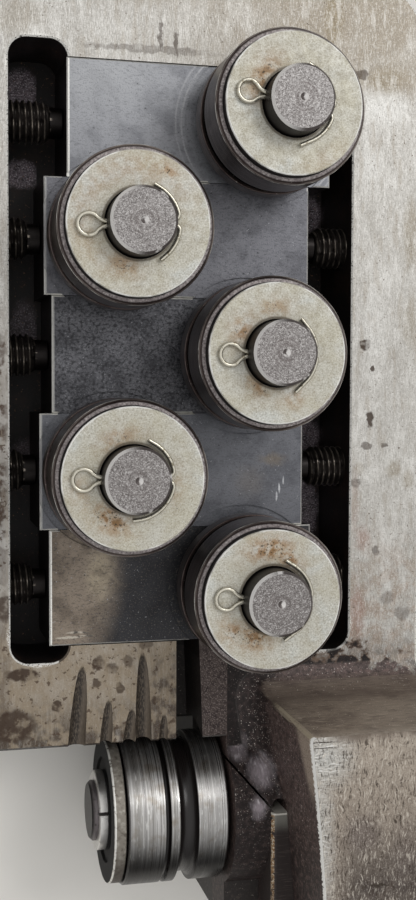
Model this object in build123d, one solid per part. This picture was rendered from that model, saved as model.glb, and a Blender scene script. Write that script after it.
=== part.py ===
"""Wire straightener head: five grooved rollers on screw-set slides in a cast bed, with a guide roller.

Millimetres. The origin is on the underside of the bed, below the middle of the slide pocket.
+X runs along the travel of the slides. +Y runs along the feed line between the rollers, away
from the guide roller. +Z is up, out of the bed's ground top face.
"""
import os
from math import cos, radians, sin
from build123d import *

# How far a cutting shape runs past the face that it opens, and how near counts as touching
cut_over = 1.0
touch = 0.01

# Bed casting
bed_half_width = 83.0
bed_back_y = 127.0
bed_lip_y = -128.0
bed_height = 50.0
bed_corner_radius = 20.0
bed_edge_chamfer = 0.8

# Pocket for the slides, with a longer slot past each end of them
pocket_depth = 32.0
slot_outer_x = 57.6
slot_inner_x = 38.6
slot_end_y = 100.0
slot_corner_radius = 6.0
slot_edge_chamfer = 0.5

# Slides
slide_count = 5
slide_pitch = 37.8
slide_gap = 0.2
slide_length = 88.5
slide_edge_chamfer = 0.4
slide_film = 0.05
slide_centres_x = [5.2, -2.2, 0.2, -3.8, -0.8]
roller_sides = [1, -1, 1, -1, 1]
pin_offset = 20.3
scar_radius = 26.0
scar_depth = 0.8

# Roller pins
pin_radius = 10.0
pin_collar_radius = 15.0
pin_collar_height = 6.5
pin_stand_out = 8.8
pin_end_chamfer = 0.8
pin_foot_gap = 2.0
pin_fit = 0.03
centre_mark_radius = 1.2
centre_mark_depth = 0.6

# Grooved rollers
roller_radius = 24.0
roller_height = 27.1
roller_rim_chamfer = 1.2
groove_height = 9.9
groove_depth = 3.8
groove_width = 5.0
running_clearance = 0.05
end_clearance = 0.3

# Washers
washer_radius = 21.7
washer_thickness = 3.0
washer_bore_clearance = 0.5
washer_edge_chamfer = 0.3

# Split pins
split_wire_radius = 0.65
split_leg_spacing = 1.5
split_hole_clearance = 0.1
split_lift = 0.25
eye_radius = 3.25
eye_reach = 15.1
eye_neck_radius = 4.5
leg_bend_radius = 1.6
leg_start_gap = 0.4
eye_angles = [170.0, 183.0, 182.0, 180.0, 177.0]
# How far round the pin each leg is wrapped, in degrees, and its straight tip: back leg, then front leg
leg_wraps = [(70.0, 56.0), (57.0, 53.0), (39.0, 48.0), (60.0, 85.0), (61.0, 52.0)]
leg_tips = [(2.5, 4.0), (2.0, 2.0), (3.3, 4.4), (2.0, 1.5), (3.3, 4.5)]

# Adjusting screws and their lock nuts
screw_radius = 7.0
screw_depth = 12.0
screw_head_stand_off = 13.25
screw_head_height = 8.8
screw_head_flats = 22.0
screw_fit = 0.1
dog_radius = 5.0
dog_length = 4.5
nut_height = 8.0
hex_corner_bevel = 1.4

# Lip below the slides: the feed notch and the grooves worn beside it
notch_left_x = -3.0
notch_right_x = 4.8
notch_right_lip_x = 6.2
notch_depth = 24.0
# Each worn groove: tip x, tip y, then its middle x and its width where it runs out of the lip
worn_grooves = [(-34.3, -101.1, -36.4, 5.6), (-25.6, -112.9, -26.7, 4.1), (-17.9, -116.6, -19.0, 4.0),
                (-14.4, -97.4, -14.0, 5.4), (-7.0, -119.0, -7.4, 3.0)]

# Arm that carries the guide roller, cast in one with the bed. Its inner side bows in plan and leans
arm_inner_x = 25.5
arm_inner_middle_x = 31.9
arm_inner_end_x = 35.4
arm_top_inner_x = 27.3
arm_top_middle_x = 31.3
arm_top_end_x = 33.8
arm_base_y = -112.8
arm_top_y = -115.4
arm_end_y = -194.0
arm_height = 50.0
arm_foot_radius = 10.5
arm_corner_radius = 2.0
arm_edge_radius = 3.5
arm_grind = 1.5
boss_radius = 27.2
boss_gap = 1.6
boss_seam_radius = 2.0
lug_rise = 12.0
lip_relief_clearance = 5.1
saw_cut_width = 0.7
saw_cut_start = (14.4, -135.4)
saw_cut_end = (27.8, -150.6)
relief_place = (29.6, -149.2)
relief_radius = 2.7
relief_depth = 14.0
relief_rise = 2.0
rib_left_x = 26.6
rib_start_y = -150.8
rib_rise = 1.2
rib_edge_radius = 1.5

# Guide roller, its shaft and what keeps it on
guide_y = -154.5
guide_drop = 14.6
guide_radius = 25.1
guide_left_x = -20.7
guide_right_x = 12.8
guide_edge_chamfer = 0.6
guide_end_gap = 0.6
feed_groove_left_x = -3.6
feed_groove_right_x = 2.6
feed_groove_depth = 3.0
oil_groove_left_x = -8.4
oil_groove_right_x = -6.6
oil_groove_depth = 2.4
shaft_radius = 10.0
shaft_end_x = -30.4
shaft_depth = 34.0
shaft_end_chamfer = 1.0
guide_washer_radius = 24.2
guide_washer_thickness = 4.0
guide_washer_recess_radius = 17.5
guide_washer_recess_depth = 1.0
ring_groove_depth = 1.0
ring_width = 3.0
ring_radius = 13.2
ring_gap = 1.2
ring_gap_angle = -12.0

# Tapped holes in the underside
bolt_core_radius = 5.1
bolt_hole_depth = 20.0
bolt_spacing_x = 140.0
bolt_spacing_y = 224.0

# Heights and places worked out from the sizes above
pocket_floor_z = bed_height - pocket_depth
slide_top_z = bed_height
slide_bottom_z = pocket_floor_z + slide_film
slide_width = slide_pitch - slide_gap
pocket_end_y = slide_count * slide_pitch / 2 + slide_gap / 2
scar_z = slide_top_z - scar_depth
collar_top_z = scar_z + pin_collar_height
roller_bottom_z = collar_top_z + end_clearance
roller_top_z = roller_bottom_z + roller_height
washer_bottom_z = roller_top_z + end_clearance
washer_top_z = washer_bottom_z + washer_thickness
pin_top_z = washer_top_z + pin_stand_out
split_pin_z = washer_top_z + split_wire_radius + split_lift
split_hole_radius = split_leg_spacing / 2 + split_wire_radius + split_hole_clearance
screw_z = slide_top_z - screw_depth
screw_length = bed_half_width + nut_height + screw_head_stand_off - slide_length / 2
arm_top_z = bed_height + arm_height
guide_z = bed_height - guide_drop
boss_left_x = guide_right_x + boss_gap
boss_top_z = guide_z + boss_radius
slide_ys = [((slide_count - 1) / 2 - i) * slide_pitch for i in range(slide_count)]
roller_xs = [x + side * pin_offset for x, side in zip(slide_centres_x, roller_sides)]


def box_between(x0, x1, y0, y1, z0, z1):
    """A box given by its two corners."""
    size = Box(x1 - x0, y1 - y0, z1 - z0)
    return Pos((x0 + x1) / 2, (y0 + y1) / 2, (z0 + z1) / 2) * size


def ring(outer_radius, inner_radius, height, chamfer_size):
    """A flat ring standing on z = 0, with its outer edges broken."""
    middle_radius = (outer_radius + inner_radius) / 2
    section = Pos(middle_radius, height / 2) * Rectangle(outer_radius - inner_radius, height)
    outer_corners = section.vertices().group_by(Axis.X)[-1]
    section = chamfer(outer_corners, chamfer_size)
    return revolve(Plane.XZ * section, Axis.Z)


def post(radius, height):
    """A cylinder standing on z = 0."""
    return Cylinder(radius, height, align=(Align.CENTER, Align.CENTER, Align.MIN))


def hexagon(flats, height, bore_radius=0.0):
    """A hexagon standing on z = 0, with its far corners turned off, and bored through if asked."""
    solid = extrude(RegularPolygon(flats / 2, 6, major_radius=False), height)
    corner_radius = flats / 2 / cos(radians(30))
    blank = post(corner_radius, height)
    blank = chamfer(blank.edges().group_by(Axis.Z)[-1], hex_corner_bevel)
    solid = solid & blank
    if bore_radius:
        solid = solid - Cylinder(bore_radius, 3 * height)
    return solid


def along_x(shape, x, y, z, side):
    """Turn a shape whose axis is +Z so that it points along +X or -X, and place its foot."""
    turned = Rot(0, 90 * side, 0) * shape
    return Pos(x, y, z) * turned


def pocket():
    """The slides' pocket: a plain bay between two rounded slots whose top edges are broken."""
    bay = box_between(-slot_outer_x, slot_outer_x, -pocket_end_y, pocket_end_y,
                      pocket_floor_z, bed_height + cut_over)
    outline = RectangleRounded(slot_outer_x - slot_inner_x, 2 * slot_end_y, slot_corner_radius)
    slot = extrude(outline, pocket_depth + cut_over)
    mouth = extrude(outline, slot_edge_chamfer + cut_over, taper=-45)
    slot = slot + Pos(0, 0, pocket_depth - slot_edge_chamfer) * mouth
    middle_x = (slot_outer_x + slot_inner_x) / 2
    return bay + Pos(middle_x, 0, pocket_floor_z) * slot + Pos(-middle_x, 0, pocket_floor_z) * slot


def feed_notch():
    """The slot that the feed line leaves the pocket by, a little wider at the edge of the lip."""
    plan = Polyline((notch_left_x, -pocket_end_y), (notch_right_x, -pocket_end_y),
                    (notch_right_lip_x, bed_lip_y - cut_over), (notch_left_x, bed_lip_y - cut_over),
                    close=True)
    return Pos(0, 0, bed_height - notch_depth) * extrude(make_face(plan), notch_depth + cut_over)


def worn_groove(tip_x, tip_y, mouth_x, mouth_width):
    """A round groove that sinks from its tip until it is half round at the edge of the lip."""
    radius = mouth_width / 2
    tip = Vector(tip_x, tip_y, bed_height + radius)
    mouth = Vector(mouth_x, bed_lip_y, bed_height)
    run = mouth - tip
    return Plane(origin=tip, z_dir=run) * post(radius, run.length + mouth_width)


def beside_arm(foot_x, middle_x, end_x, front_y):
    """Outline of what is cut away beside the bowed inner side of the arm."""
    foot = (foot_x, front_y)
    end = (end_x, arm_end_y)
    bow = ThreePointArc(foot, (middle_x, (front_y + arm_end_y) / 2), end)
    clear_x = arm_inner_x - cut_over
    around = Polyline(end, (end_x, arm_end_y - cut_over), (clear_x, arm_end_y - cut_over),
                      (clear_x, arm_base_y + cut_over), (foot_x, arm_base_y + cut_over), foot)
    return make_face([bow] + around.edges())


def arm_block():
    """The tall block of the arm: cast with rounded edges and a bowed inner side, then ground flat on top."""
    cast_height = arm_height + arm_grind
    cast_top_z = bed_height + cast_height
    cast_top_y = arm_base_y + (arm_top_y - arm_base_y) * cast_height / arm_height
    side_view = Polyline((arm_base_y, 0), (arm_base_y, bed_height), (cast_top_y, cast_top_z),
                         (arm_end_y, cast_top_z), (arm_end_y, 0), close=True)
    block = extrude(Plane.YZ.offset(arm_inner_x) * make_face(side_view), bed_half_width - arm_inner_x)
    low = beside_arm(arm_inner_x, arm_inner_middle_x, arm_inner_end_x, arm_base_y)
    high = beside_arm(arm_top_inner_x, arm_top_middle_x, arm_top_end_x, arm_top_y)
    leaning = loft([Pos(0, 0, bed_height) * low, Pos(0, 0, cast_top_z) * high], ruled=True)
    block = block - extrude(low, bed_height) - leaning
    inner_edge = block.faces().sort_by(Axis.Z)[-1].edges().sort_by(Axis.X)[0]
    block = fillet([inner_edge], arm_edge_radius)
    front_edge = block.faces().sort_by(Axis.Z)[-1].edges().sort_by(Axis.Y)[-1]
    middle_x = (arm_inner_x + arm_top_inner_x) / 2
    middle_y = (arm_base_y + arm_top_y) / 2
    upright = block.edges().sort_by_distance((middle_x, middle_y, bed_height + arm_height / 2))[0]
    block = fillet([front_edge, upright], arm_corner_radius)
    ground_off = box_between(arm_inner_x, bed_half_width + cut_over, arm_end_y - cut_over, arm_base_y,
                             arm_top_z, cast_top_z + cut_over)
    return block - ground_off


def on_boss(edge):
    """True for an edge that lies on the outside of the boss, above the bed."""
    for share in (0.0, 0.5, 1.0):
        point = edge @ share
        if abs(Vector(point.Y - guide_y, point.Z - guide_z).length - boss_radius) > touch:
            return False
    return edge.center().Z > bed_height - touch and edge.center().X > boss_left_x + touch


def with_arm(plate):
    """The plate with the arm on it: rounded foot, web, shaft boss with its seam, and clamp lug."""
    inner_wall_x = arm_inner_end_x + cut_over
    web = box_between(boss_left_x, inner_wall_x, guide_y, arm_base_y, 0, bed_height)
    body = plate + arm_block() + web
    level = body.edges().filter_by_position(Axis.Z, bed_height - touch, bed_height + touch)
    foot = [e for e in level if arm_inner_x < e.center().X < bed_half_width - touch
            and arm_end_y < e.center().Y < arm_base_y + touch]
    body = fillet(foot, arm_foot_radius)
    boss = along_x(post(boss_radius, inner_wall_x - boss_left_x), boss_left_x, guide_y, guide_z, 1)
    lug = box_between(boss_left_x, inner_wall_x, arm_end_y, guide_y, 0, guide_z + lug_rise)
    body = body + boss + lug
    return fillet([e for e in body.edges() if on_boss(e)], boss_seam_radius)


def clamp_cuts():
    """The saw cut across the boss and the round hole that it ends in."""
    start = Vector(*saw_cut_start, guide_z)
    end = Vector(*saw_cut_end, guide_z)
    run = start - end
    slab = Box(run.length + 2 * cut_over, saw_cut_width, boss_radius + cut_over,
               align=(Align.MIN, Align.CENTER, Align.MIN))
    slab = Plane(origin=end, x_dir=run) * slab
    hole = Pos(*relief_place, boss_top_z - relief_depth) * post(relief_radius, relief_depth + relief_rise)
    return slab + hole


def clamp_rib():
    """The bar that runs back from the round hole, level with the top of the boss."""
    rib = box_between(rib_left_x, arm_inner_end_x + cut_over, arm_end_y, rib_start_y,
                      0, boss_top_z + rib_rise)
    top_left = rib.edges().filter_by(Axis.Y).group_by(Axis.Z)[-1].sort_by(Axis.X)[0]
    return fillet([top_left], rib_edge_radius)


def bed_casting():
    """The bed with its pocket, screw holes, lip and the arm, as one casting."""
    plate = box_between(-bed_half_width, bed_half_width, bed_lip_y, bed_back_y, 0, bed_height)
    back_corners = plate.edges().filter_by(Axis.Z).group_by(Axis.Y)[-1]
    plate = fillet(back_corners, bed_corner_radius)
    left_front = plate.edges().filter_by(Axis.Z).sort_by(lambda e: e.center().X + e.center().Y)[0]
    plate = fillet(left_front, bed_corner_radius)
    body = with_arm(plate)
    top_edge = body.edges().sort_by_distance((bed_half_width, 0, bed_height))[0]
    body = chamfer([top_edge], bed_edge_chamfer) - pocket() - feed_notch()
    for groove in worn_grooves:
        body = body - worn_groove(*groove)
    screw_hole = Cylinder(screw_radius + screw_fit, 2 * (bed_half_width + cut_over))
    for y in slide_ys:
        body = body - Pos(0, y, screw_z) * Rot(0, 90, 0) * screw_hole
    relief = post(guide_radius + lip_relief_clearance, boss_left_x - ring_place_x())
    body = body - along_x(relief, ring_place_x(), guide_y, guide_z, 1)
    bore = post(shaft_radius + pin_fit, shaft_depth + cut_over)
    body = body - clamp_cuts() + clamp_rib()
    body = body - along_x(bore, boss_left_x - cut_over, guide_y, guide_z, 1)
    bolt_hole = post(bolt_core_radius, bolt_hole_depth)
    for place in GridLocations(bolt_spacing_x, bolt_spacing_y, 2, 2):
        body = body - place * bolt_hole
    return body


def slide(index):
    """One slide, with the shallow round scars that its own and the next rollers have left."""
    centre = Pos(slide_centres_x[index], slide_ys[index], (slide_top_z + slide_bottom_z) / 2)
    block = Box(slide_length, slide_width, slide_top_z - slide_bottom_z)
    block = centre * chamfer(block.edges().group_by(Axis.Z)[-1], slide_edge_chamfer)
    scar = post(scar_radius, scar_depth + cut_over)
    for near in range(max(index - 1, 0), min(index + 2, slide_count)):
        block = block - Pos(roller_xs[near], slide_ys[near], scar_z) * scar
    bore = Cylinder(pin_radius + pin_fit, 3 * pocket_depth)
    return block - Pos(roller_xs[index], slide_ys[index], slide_bottom_z) * bore


def roller_pin(index):
    """The turned pin that a roller runs on: foot, collar, journal and a cross hole for the split pin."""
    foot_z = slide_bottom_z + pin_foot_gap
    shank = post(pin_radius, pin_top_z - foot_z)
    shank = Pos(0, 0, foot_z) * chamfer(shank.edges().group_by(Axis.Z)[-1], pin_end_chamfer)
    collar = ring(pin_collar_radius, pin_radius / 2, pin_collar_height, pin_end_chamfer)
    mark = Cone(0.1, centre_mark_radius, centre_mark_depth, align=(Align.CENTER, Align.CENTER, Align.MAX))
    cross_hole = Cylinder(split_hole_radius, 3 * pin_radius)
    turned = Rot(0, 0, eye_angles[index]) * Pos(0, 0, split_pin_z) * Rot(0, 90, 0) * cross_hole
    body = shank + Pos(0, 0, scar_z) * collar - Pos(0, 0, pin_top_z) * mark - turned
    return Pos(roller_xs[index], slide_ys[index], 0) * body


def grooved_section(inner_radius, outer_radius, height, edge_chamfer, grooves):
    """Half section of a turned roller: radius along x and height along y.

    Each groove is its middle height, its width and its depth, and has a rounded root.
    """
    middle_radius = (outer_radius + inner_radius) / 2
    section = Pos(middle_radius, height / 2) * Rectangle(outer_radius - inner_radius, height)
    section = chamfer(section.vertices().group_by(Axis.X)[-1], edge_chamfer)
    for middle, width, depth in grooves:
        root_radius = min(0.45 * width, 0.9 * depth)
        section = section - Pos(outer_radius, middle) * RectangleRounded(2 * depth, width, root_radius)
    return section


def roller(index):
    """One straightening roller, with its groove low on the side."""
    groove = (groove_height, groove_width, groove_depth)
    section = grooved_section(pin_radius + running_clearance, roller_radius, roller_height,
                              roller_rim_chamfer, [groove])
    return Pos(roller_xs[index], slide_ys[index], roller_bottom_z) * revolve(Plane.XZ * section, Axis.Z)


def washer(index):
    """The thick plain washer between a roller and its split pin."""
    bore_radius = pin_radius + washer_bore_clearance
    disc = ring(washer_radius, bore_radius, washer_thickness, washer_edge_chamfer)
    return Pos(roller_xs[index], slide_ys[index], washer_bottom_z) * disc


def split_leg(side, wrap, tip_length):
    """Half of a split pin's centre line, from its tip round the pin and through it to the end of the eye.

    u points from the roller pin's axis to the eye, and the leg keeps to one side of u.
    """
    v = side * split_leg_spacing / 2
    hole_end = Vector(-(pin_radius + leg_start_gap), v)
    bend_centre = hole_end + Vector(0, side * leg_bend_radius)
    wrap_radius = bend_centre.length + leg_bend_radius
    bend_end = bend_centre.normalized() * wrap_radius
    heading = Vector(side * bend_end.Y, -side * bend_end.X).normalized()
    angle = radians(wrap)
    wrap_end = Vector(-cos(angle), side * sin(angle)) * wrap_radius
    tip = wrap_end + Vector(sin(angle), side * cos(angle)) * tip_length
    neck_u = eye_reach - ((eye_radius + eye_neck_radius) ** 2 - (abs(v) + eye_neck_radius) ** 2) ** 0.5
    neck_centre = Vector(neck_u, v + side * eye_neck_radius)
    eye_centre = Vector(eye_reach, 0)
    meet = neck_centre + (eye_centre - neck_centre).normalized() * eye_neck_radius
    bend = TangentArc((hole_end.X, hole_end.Y), (bend_end.X, bend_end.Y), tangent=(-1, 0))
    hug = TangentArc((bend_end.X, bend_end.Y), (wrap_end.X, wrap_end.Y), tangent=(heading.X, heading.Y))
    neck = TangentArc((neck_u, v), (meet.X, meet.Y), tangent=(1, 0))
    bow = TangentArc((meet.X, meet.Y), (eye_reach + eye_radius, 0), tangent=neck % 1)
    return [Line((tip.X, tip.Y), (wrap_end.X, wrap_end.Y)), hug, bend,
            Line((hole_end.X, hole_end.Y), (neck_u, v)), neck, bow]


def split_pin(index):
    """A split pin: teardrop eye on the washer, two legs through the pin and bent round it beyond."""
    solid = None
    for side, wrap, tip_length in zip((-1, 1), leg_wraps[index], leg_tips[index]):
        path = Wire(split_leg(side, wrap, tip_length))
        start = path @ 0
        leg = sweep(Plane(origin=start, z_dir=path % 0) * Circle(split_wire_radius), path=path)
        solid = leg if solid is None else solid + leg
    place = Pos(roller_xs[index], slide_ys[index], split_pin_z) * Rot(0, 0, eye_angles[index])
    return place * solid


def adjusting_screw(index, side):
    """A hexagon headed screw through the bed's wall, its dog point against the end of the slide."""
    shank = post(screw_radius, screw_length - dog_length)
    head = hexagon(screw_head_flats, screw_head_height)
    body = post(dog_radius, dog_length) + Pos(0, 0, dog_length) * shank + Pos(0, 0, screw_length) * head
    end_x = slide_centres_x[index] + side * slide_length / 2
    return along_x(body, end_x, slide_ys[index], screw_z, side)


def lock_nuts(side):
    """The five lock nuts on one side of the bed."""
    nut = hexagon(screw_head_flats, nut_height, screw_radius + screw_fit)
    return Compound([along_x(nut, side * bed_half_width, y, screw_z, side) for y in slide_ys])


def guide_roller():
    """The turned guide roller, with its wide feed groove and a narrow oil groove."""
    def groove(left_x, right_x, depth):
        return ((left_x + right_x) / 2 - guide_left_x, right_x - left_x, depth)
    grooves = [groove(feed_groove_left_x, feed_groove_right_x, feed_groove_depth),
               groove(oil_groove_left_x, oil_groove_right_x, oil_groove_depth)]
    section = grooved_section(shaft_radius + running_clearance, guide_radius, guide_right_x - guide_left_x,
                              guide_edge_chamfer, grooves)
    return along_x(revolve(Plane.XZ * section, Axis.Z), guide_left_x, guide_y, guide_z, 1)


def ring_place_x():
    """The left face of the snap ring, outside the guide washer."""
    return guide_left_x - guide_end_gap - guide_washer_thickness - running_clearance - ring_width


def guide_shaft():
    """The fixed shaft of the guide roller, clamped in the boss, with a groove for the snap ring."""
    shaft = post(shaft_radius, boss_left_x + shaft_depth - shaft_end_x)
    shaft = chamfer(shaft.edges().group_by(Axis.Z)[0], shaft_end_chamfer)
    groove = post(shaft_radius + cut_over, ring_width + 2 * running_clearance)
    groove = groove - Cylinder(shaft_radius - ring_groove_depth, 4 * ring_width)
    shaft = shaft - Pos(0, 0, ring_place_x() - running_clearance - shaft_end_x) * groove
    return along_x(shaft, shaft_end_x, guide_y, guide_z, 1)


def guide_washer():
    """The rough thrust washer at the open end of the guide roller, recessed towards the snap ring."""
    bore_radius = shaft_radius + end_clearance
    disc = ring(guide_washer_radius, bore_radius, guide_washer_thickness, washer_edge_chamfer)
    recess = Cylinder(guide_washer_recess_radius, 2 * guide_washer_recess_depth)
    disc = disc - (recess - Cylinder(ring_radius, 4 * guide_washer_recess_depth))
    return along_x(disc, guide_left_x - guide_end_gap - guide_washer_thickness, guide_y, guide_z, 1)


def snap_ring():
    """The split ring in the groove of the guide shaft."""
    bore_radius = shaft_radius - ring_groove_depth + running_clearance
    band = ring(ring_radius, bore_radius, ring_width, washer_edge_chamfer)
    split = Box(2 * ring_radius, ring_gap, 3 * ring_width, align=(Align.MIN, Align.CENTER, Align.CENTER))
    band = band - Rot(0, 0, 180 + ring_gap_angle) * split
    return along_x(band, ring_place_x(), guide_y, guide_z, 1)


def build_nodes():
    """Every node of the part by name."""
    nodes = {"bed_casting": bed_casting()}
    for index in range(slide_count):
        number = index + 1
        nodes[f"slide_{number}"] = slide(index)
        nodes[f"roller_pin_{number}"] = roller_pin(index)
        nodes[f"roller_{number}"] = roller(index)
        nodes[f"washer_{number}"] = washer(index)
        nodes[f"split_pin_{number}"] = split_pin(index)
        nodes[f"left_screw_{number}"] = adjusting_screw(index, -1)
        nodes[f"right_screw_{number}"] = adjusting_screw(index, 1)
    nodes["left_lock_nuts"] = lock_nuts(-1)
    nodes["right_lock_nuts"] = lock_nuts(1)
    nodes["guide_shaft"] = guide_shaft()
    nodes["guide_roller"] = guide_roller()
    nodes["guide_washer"] = guide_washer()
    nodes["snap_ring"] = snap_ring()
    return nodes


os.makedirs("parts", exist_ok=True)
for name, shape in build_nodes().items():
    export_step(shape, f"parts/{name}.step")
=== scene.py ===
"""Finishes and turned surfaces for the wire straightener head, laid out as a Blender add-on.

Metres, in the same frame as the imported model: +X along the travel of the slides, +Y along the feed
line away from the guide roller, +Z out of the bed's ground face.
"""
import math

import bmesh
import bpy
import numpy as np
from mathutils import Matrix, Vector


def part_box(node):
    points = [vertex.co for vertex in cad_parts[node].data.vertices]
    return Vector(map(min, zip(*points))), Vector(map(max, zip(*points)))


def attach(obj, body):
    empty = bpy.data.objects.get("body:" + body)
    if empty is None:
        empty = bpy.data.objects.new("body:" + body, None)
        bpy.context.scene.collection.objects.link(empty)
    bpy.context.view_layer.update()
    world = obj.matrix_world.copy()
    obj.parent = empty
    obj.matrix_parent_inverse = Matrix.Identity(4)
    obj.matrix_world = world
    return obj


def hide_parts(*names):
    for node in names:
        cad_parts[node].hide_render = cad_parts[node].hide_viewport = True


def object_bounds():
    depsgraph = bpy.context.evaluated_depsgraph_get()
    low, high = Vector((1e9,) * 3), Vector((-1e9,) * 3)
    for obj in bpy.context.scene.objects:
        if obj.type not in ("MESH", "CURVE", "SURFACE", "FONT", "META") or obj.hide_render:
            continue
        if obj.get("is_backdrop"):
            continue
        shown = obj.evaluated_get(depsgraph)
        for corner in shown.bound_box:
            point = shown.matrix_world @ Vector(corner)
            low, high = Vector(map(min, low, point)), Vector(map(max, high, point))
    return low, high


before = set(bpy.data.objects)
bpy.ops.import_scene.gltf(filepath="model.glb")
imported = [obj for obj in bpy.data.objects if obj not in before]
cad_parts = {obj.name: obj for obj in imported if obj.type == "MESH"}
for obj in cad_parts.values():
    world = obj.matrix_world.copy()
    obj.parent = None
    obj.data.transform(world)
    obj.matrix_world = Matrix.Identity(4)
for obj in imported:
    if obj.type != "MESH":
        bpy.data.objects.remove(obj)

cad_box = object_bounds()

bl_info = {
    "name": "Wire straightener head",
    "version": (1, 0, 0),
    "blender": (4, 5, 0),
    "location": "View3D > Sidebar > Straightener",
    "description": "Dresses the straightener head with worn machine finishes, threads and turned surfaces",
    "category": "Object",
}

mm = 0.001
roller_count = 5
numbers = range(1, roller_count + 1)

# The real grain and grinding marks are about 0.05 mm wide, too fine to show, so they are drawn this wide
fine_grain = 0.5 * mm
brush_width = 0.33 * mm
# How soft the edge of a spot is, as a share of the noise that it is cut from
spot_edge = 0.04
# Faces round a straightening roller or washer, the guide roller or its washer, and the shaft
roller_columns = 160
guide_columns = 200
shaft_columns = 96


def linear(hex_colour):
    """Scene-linear colour of an sRGB hex value."""
    parts = [int(hex_colour[i:i + 2], 16) / 255 for i in (1, 3, 5)]
    parts = [c / 12.92 if c <= 0.04045 else ((c + 0.055) / 1.055) ** 2.4 for c in parts]
    return (*parts, 1.0)


def size(name, description, default):
    """A size that a user may change, in metres."""
    return bpy.props.FloatProperty(name=name, description=description, default=default, unit="LENGTH",
                                   precision=5)


def tint(name, description, default):
    """A colour that a user may change, given as sRGB hex."""
    return bpy.props.FloatVectorProperty(name=name, description=description, subtype="COLOR", size=4,
                                         min=0.0, max=1.0, default=linear(default))


class StraightenerSizes(bpy.types.PropertyGroup):
    """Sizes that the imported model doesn't carry."""
    thread_pitch: size("Thread pitch", "Advance of the screw thread in one turn", 2.0 * mm)
    thread_depth: size("Thread depth", "Height of the screw thread", 1.15 * mm)
    dog_radius: size("Dog radius", "Radius of the plain end of a screw", 5.0 * mm)
    dog_length: size("Dog length", "Length of the plain end of a screw", 4.5 * mm)
    shank_radius: size("Shank radius", "Radius over the screw thread", 7.0 * mm)
    head_height: size("Head height", "Height of the hexagon head", 8.8 * mm)
    head_flats: size("Head flats", "Width across the flats of the hexagon head", 22.0 * mm)
    bore_radius: size("Bore radius", "Bore of the rollers", 10.05 * mm)
    washer_bore: size("Washer bore", "Bore radius of the plain washers", 10.5 * mm)
    groove_height: size("Groove height", "Middle of a roller's groove above its lower face", 9.9 * mm)
    groove_width: size("Groove width", "Width of a roller's groove", 5.0 * mm)
    groove_depth: size("Groove depth", "Depth of a roller's groove", 3.8 * mm)
    rim_chamfer: size("Rim chamfer", "Broken edge of a roller", 1.2 * mm)
    edge_chamfer: size("Edge chamfer", "Broken edge of a washer", 0.3 * mm)


class StraightenerColours(bpy.types.PropertyGroup):
    """Colours of the finishes, as they look under plain white light."""
    ground_iron: tint("Ground iron", "Brushed top face of the bed", "#b6b3ad")
    cast_iron: tint("Cast iron", "Oily as-cast surfaces", "#2b2624")
    arm_iron: tint("Arm iron", "Handled top of the arm", "#958a7e")
    arm_front: tint("Arm front", "Upright face of the arm", "#8f8274")
    rust: tint("Rust", "Brown rust", "#6b4a33")
    bright_steel: tint("Bright steel", "Freshly worn steel", "#e4e2dc")
    pin_steel: tint("Pin steel", "End face of a roller pin", "#8b8785")
    # Oil black is also painted as shade: in the pocket's slots, on the pin sides and round the foot of each
    # washer
    oil_black_and_shade: tint("Oil black", "Dried oil and dirt", "#1b1716")
    washer_steel: tint("Washer steel", "Pale face of a washer", "#b6b3a7")
    oil_stain: tint("Oil stain", "Orange brown stain", "#9b7446")
    roller_side: tint("Roller side", "Hardened side of a roller", "#554a47")
    roller_rim: tint("Roller rim", "Rough end of a roller", "#857d7c")
    plated_wire: tint("Plated wire", "Cream grey wire of a split pin", "#c6c1b2")
    screw_steel: tint("Screw steel", "Oily screw", "#3d3835")
    turned_steel: tint("Turned steel", "Guide roller", "#9f9d9b")
    floor_paint: tint("Floor paint", "Studio floor", "#dddad4")


def add(tree, kind, links=None, **settings):
    """Add a node with its settings, link or set its inputs by name or number, and give its output."""
    node = tree.nodes.new(kind)
    for name, value in settings.items():
        setattr(node, name, value)
    for key, source in (links or {}).items():
        if isinstance(key, int):
            socket = node.inputs[key]
        else:
            socket = next(s for s in node.inputs if s.enabled and s.name == key)
        if isinstance(source, bpy.types.NodeSocket):
            tree.links.new(source, socket)
        else:
            socket.default_value = source
    return next((s for s in node.outputs if s.enabled), node)


def layered(tree, base, coats):
    """The base colour with each coat laid over it. A colour is sRGB hex or linear.

    A coat is (mask, colour), or (value, low, high, strength, colour): then its mask rises from none to
    that strength while the value goes from low to high.

    Long stacks come from a generator, so that each mask is made just before its coat: the renderer
    holds only so many values at a time.
    """
    if isinstance(base, str):
        base = linear(base)
    for *mask, colour in coats:
        if len(mask) > 1:
            value, low, high, strength = mask
            mask = [rising(tree, value, low, high, 0.0, strength)]
        if isinstance(colour, str):
            colour = linear(colour)
        base = add(tree, "ShaderNodeMix", {"Factor": mask[0], "A": base, "B": colour}, data_type="RGBA")
    return base


def both(tree, *masks):
    """Where all the masks hold: their product."""
    result = masks[0]
    for mask in masks[1:]:
        result = add(tree, "ShaderNodeMath", {0: result, 1: mask}, operation="MULTIPLY")
    return result


def either(tree, *masks):
    """Where any of the masks holds: their maximum."""
    result = masks[0]
    for mask in masks[1:]:
        result = add(tree, "ShaderNodeMath", {0: result, 1: mask}, operation="MAXIMUM")
    return result


def rising(tree, value, low, high, bottom=0.0, top=1.0):
    """A mask that goes from bottom to top while the value goes from low to high, whichever is larger."""
    return add(tree, "ShaderNodeMapRange", {"Value": value, "From Min": low, "From Max": high,
                                            "To Min": bottom, "To Max": top},
               interpolation_type="SMOOTHSTEP")


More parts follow.
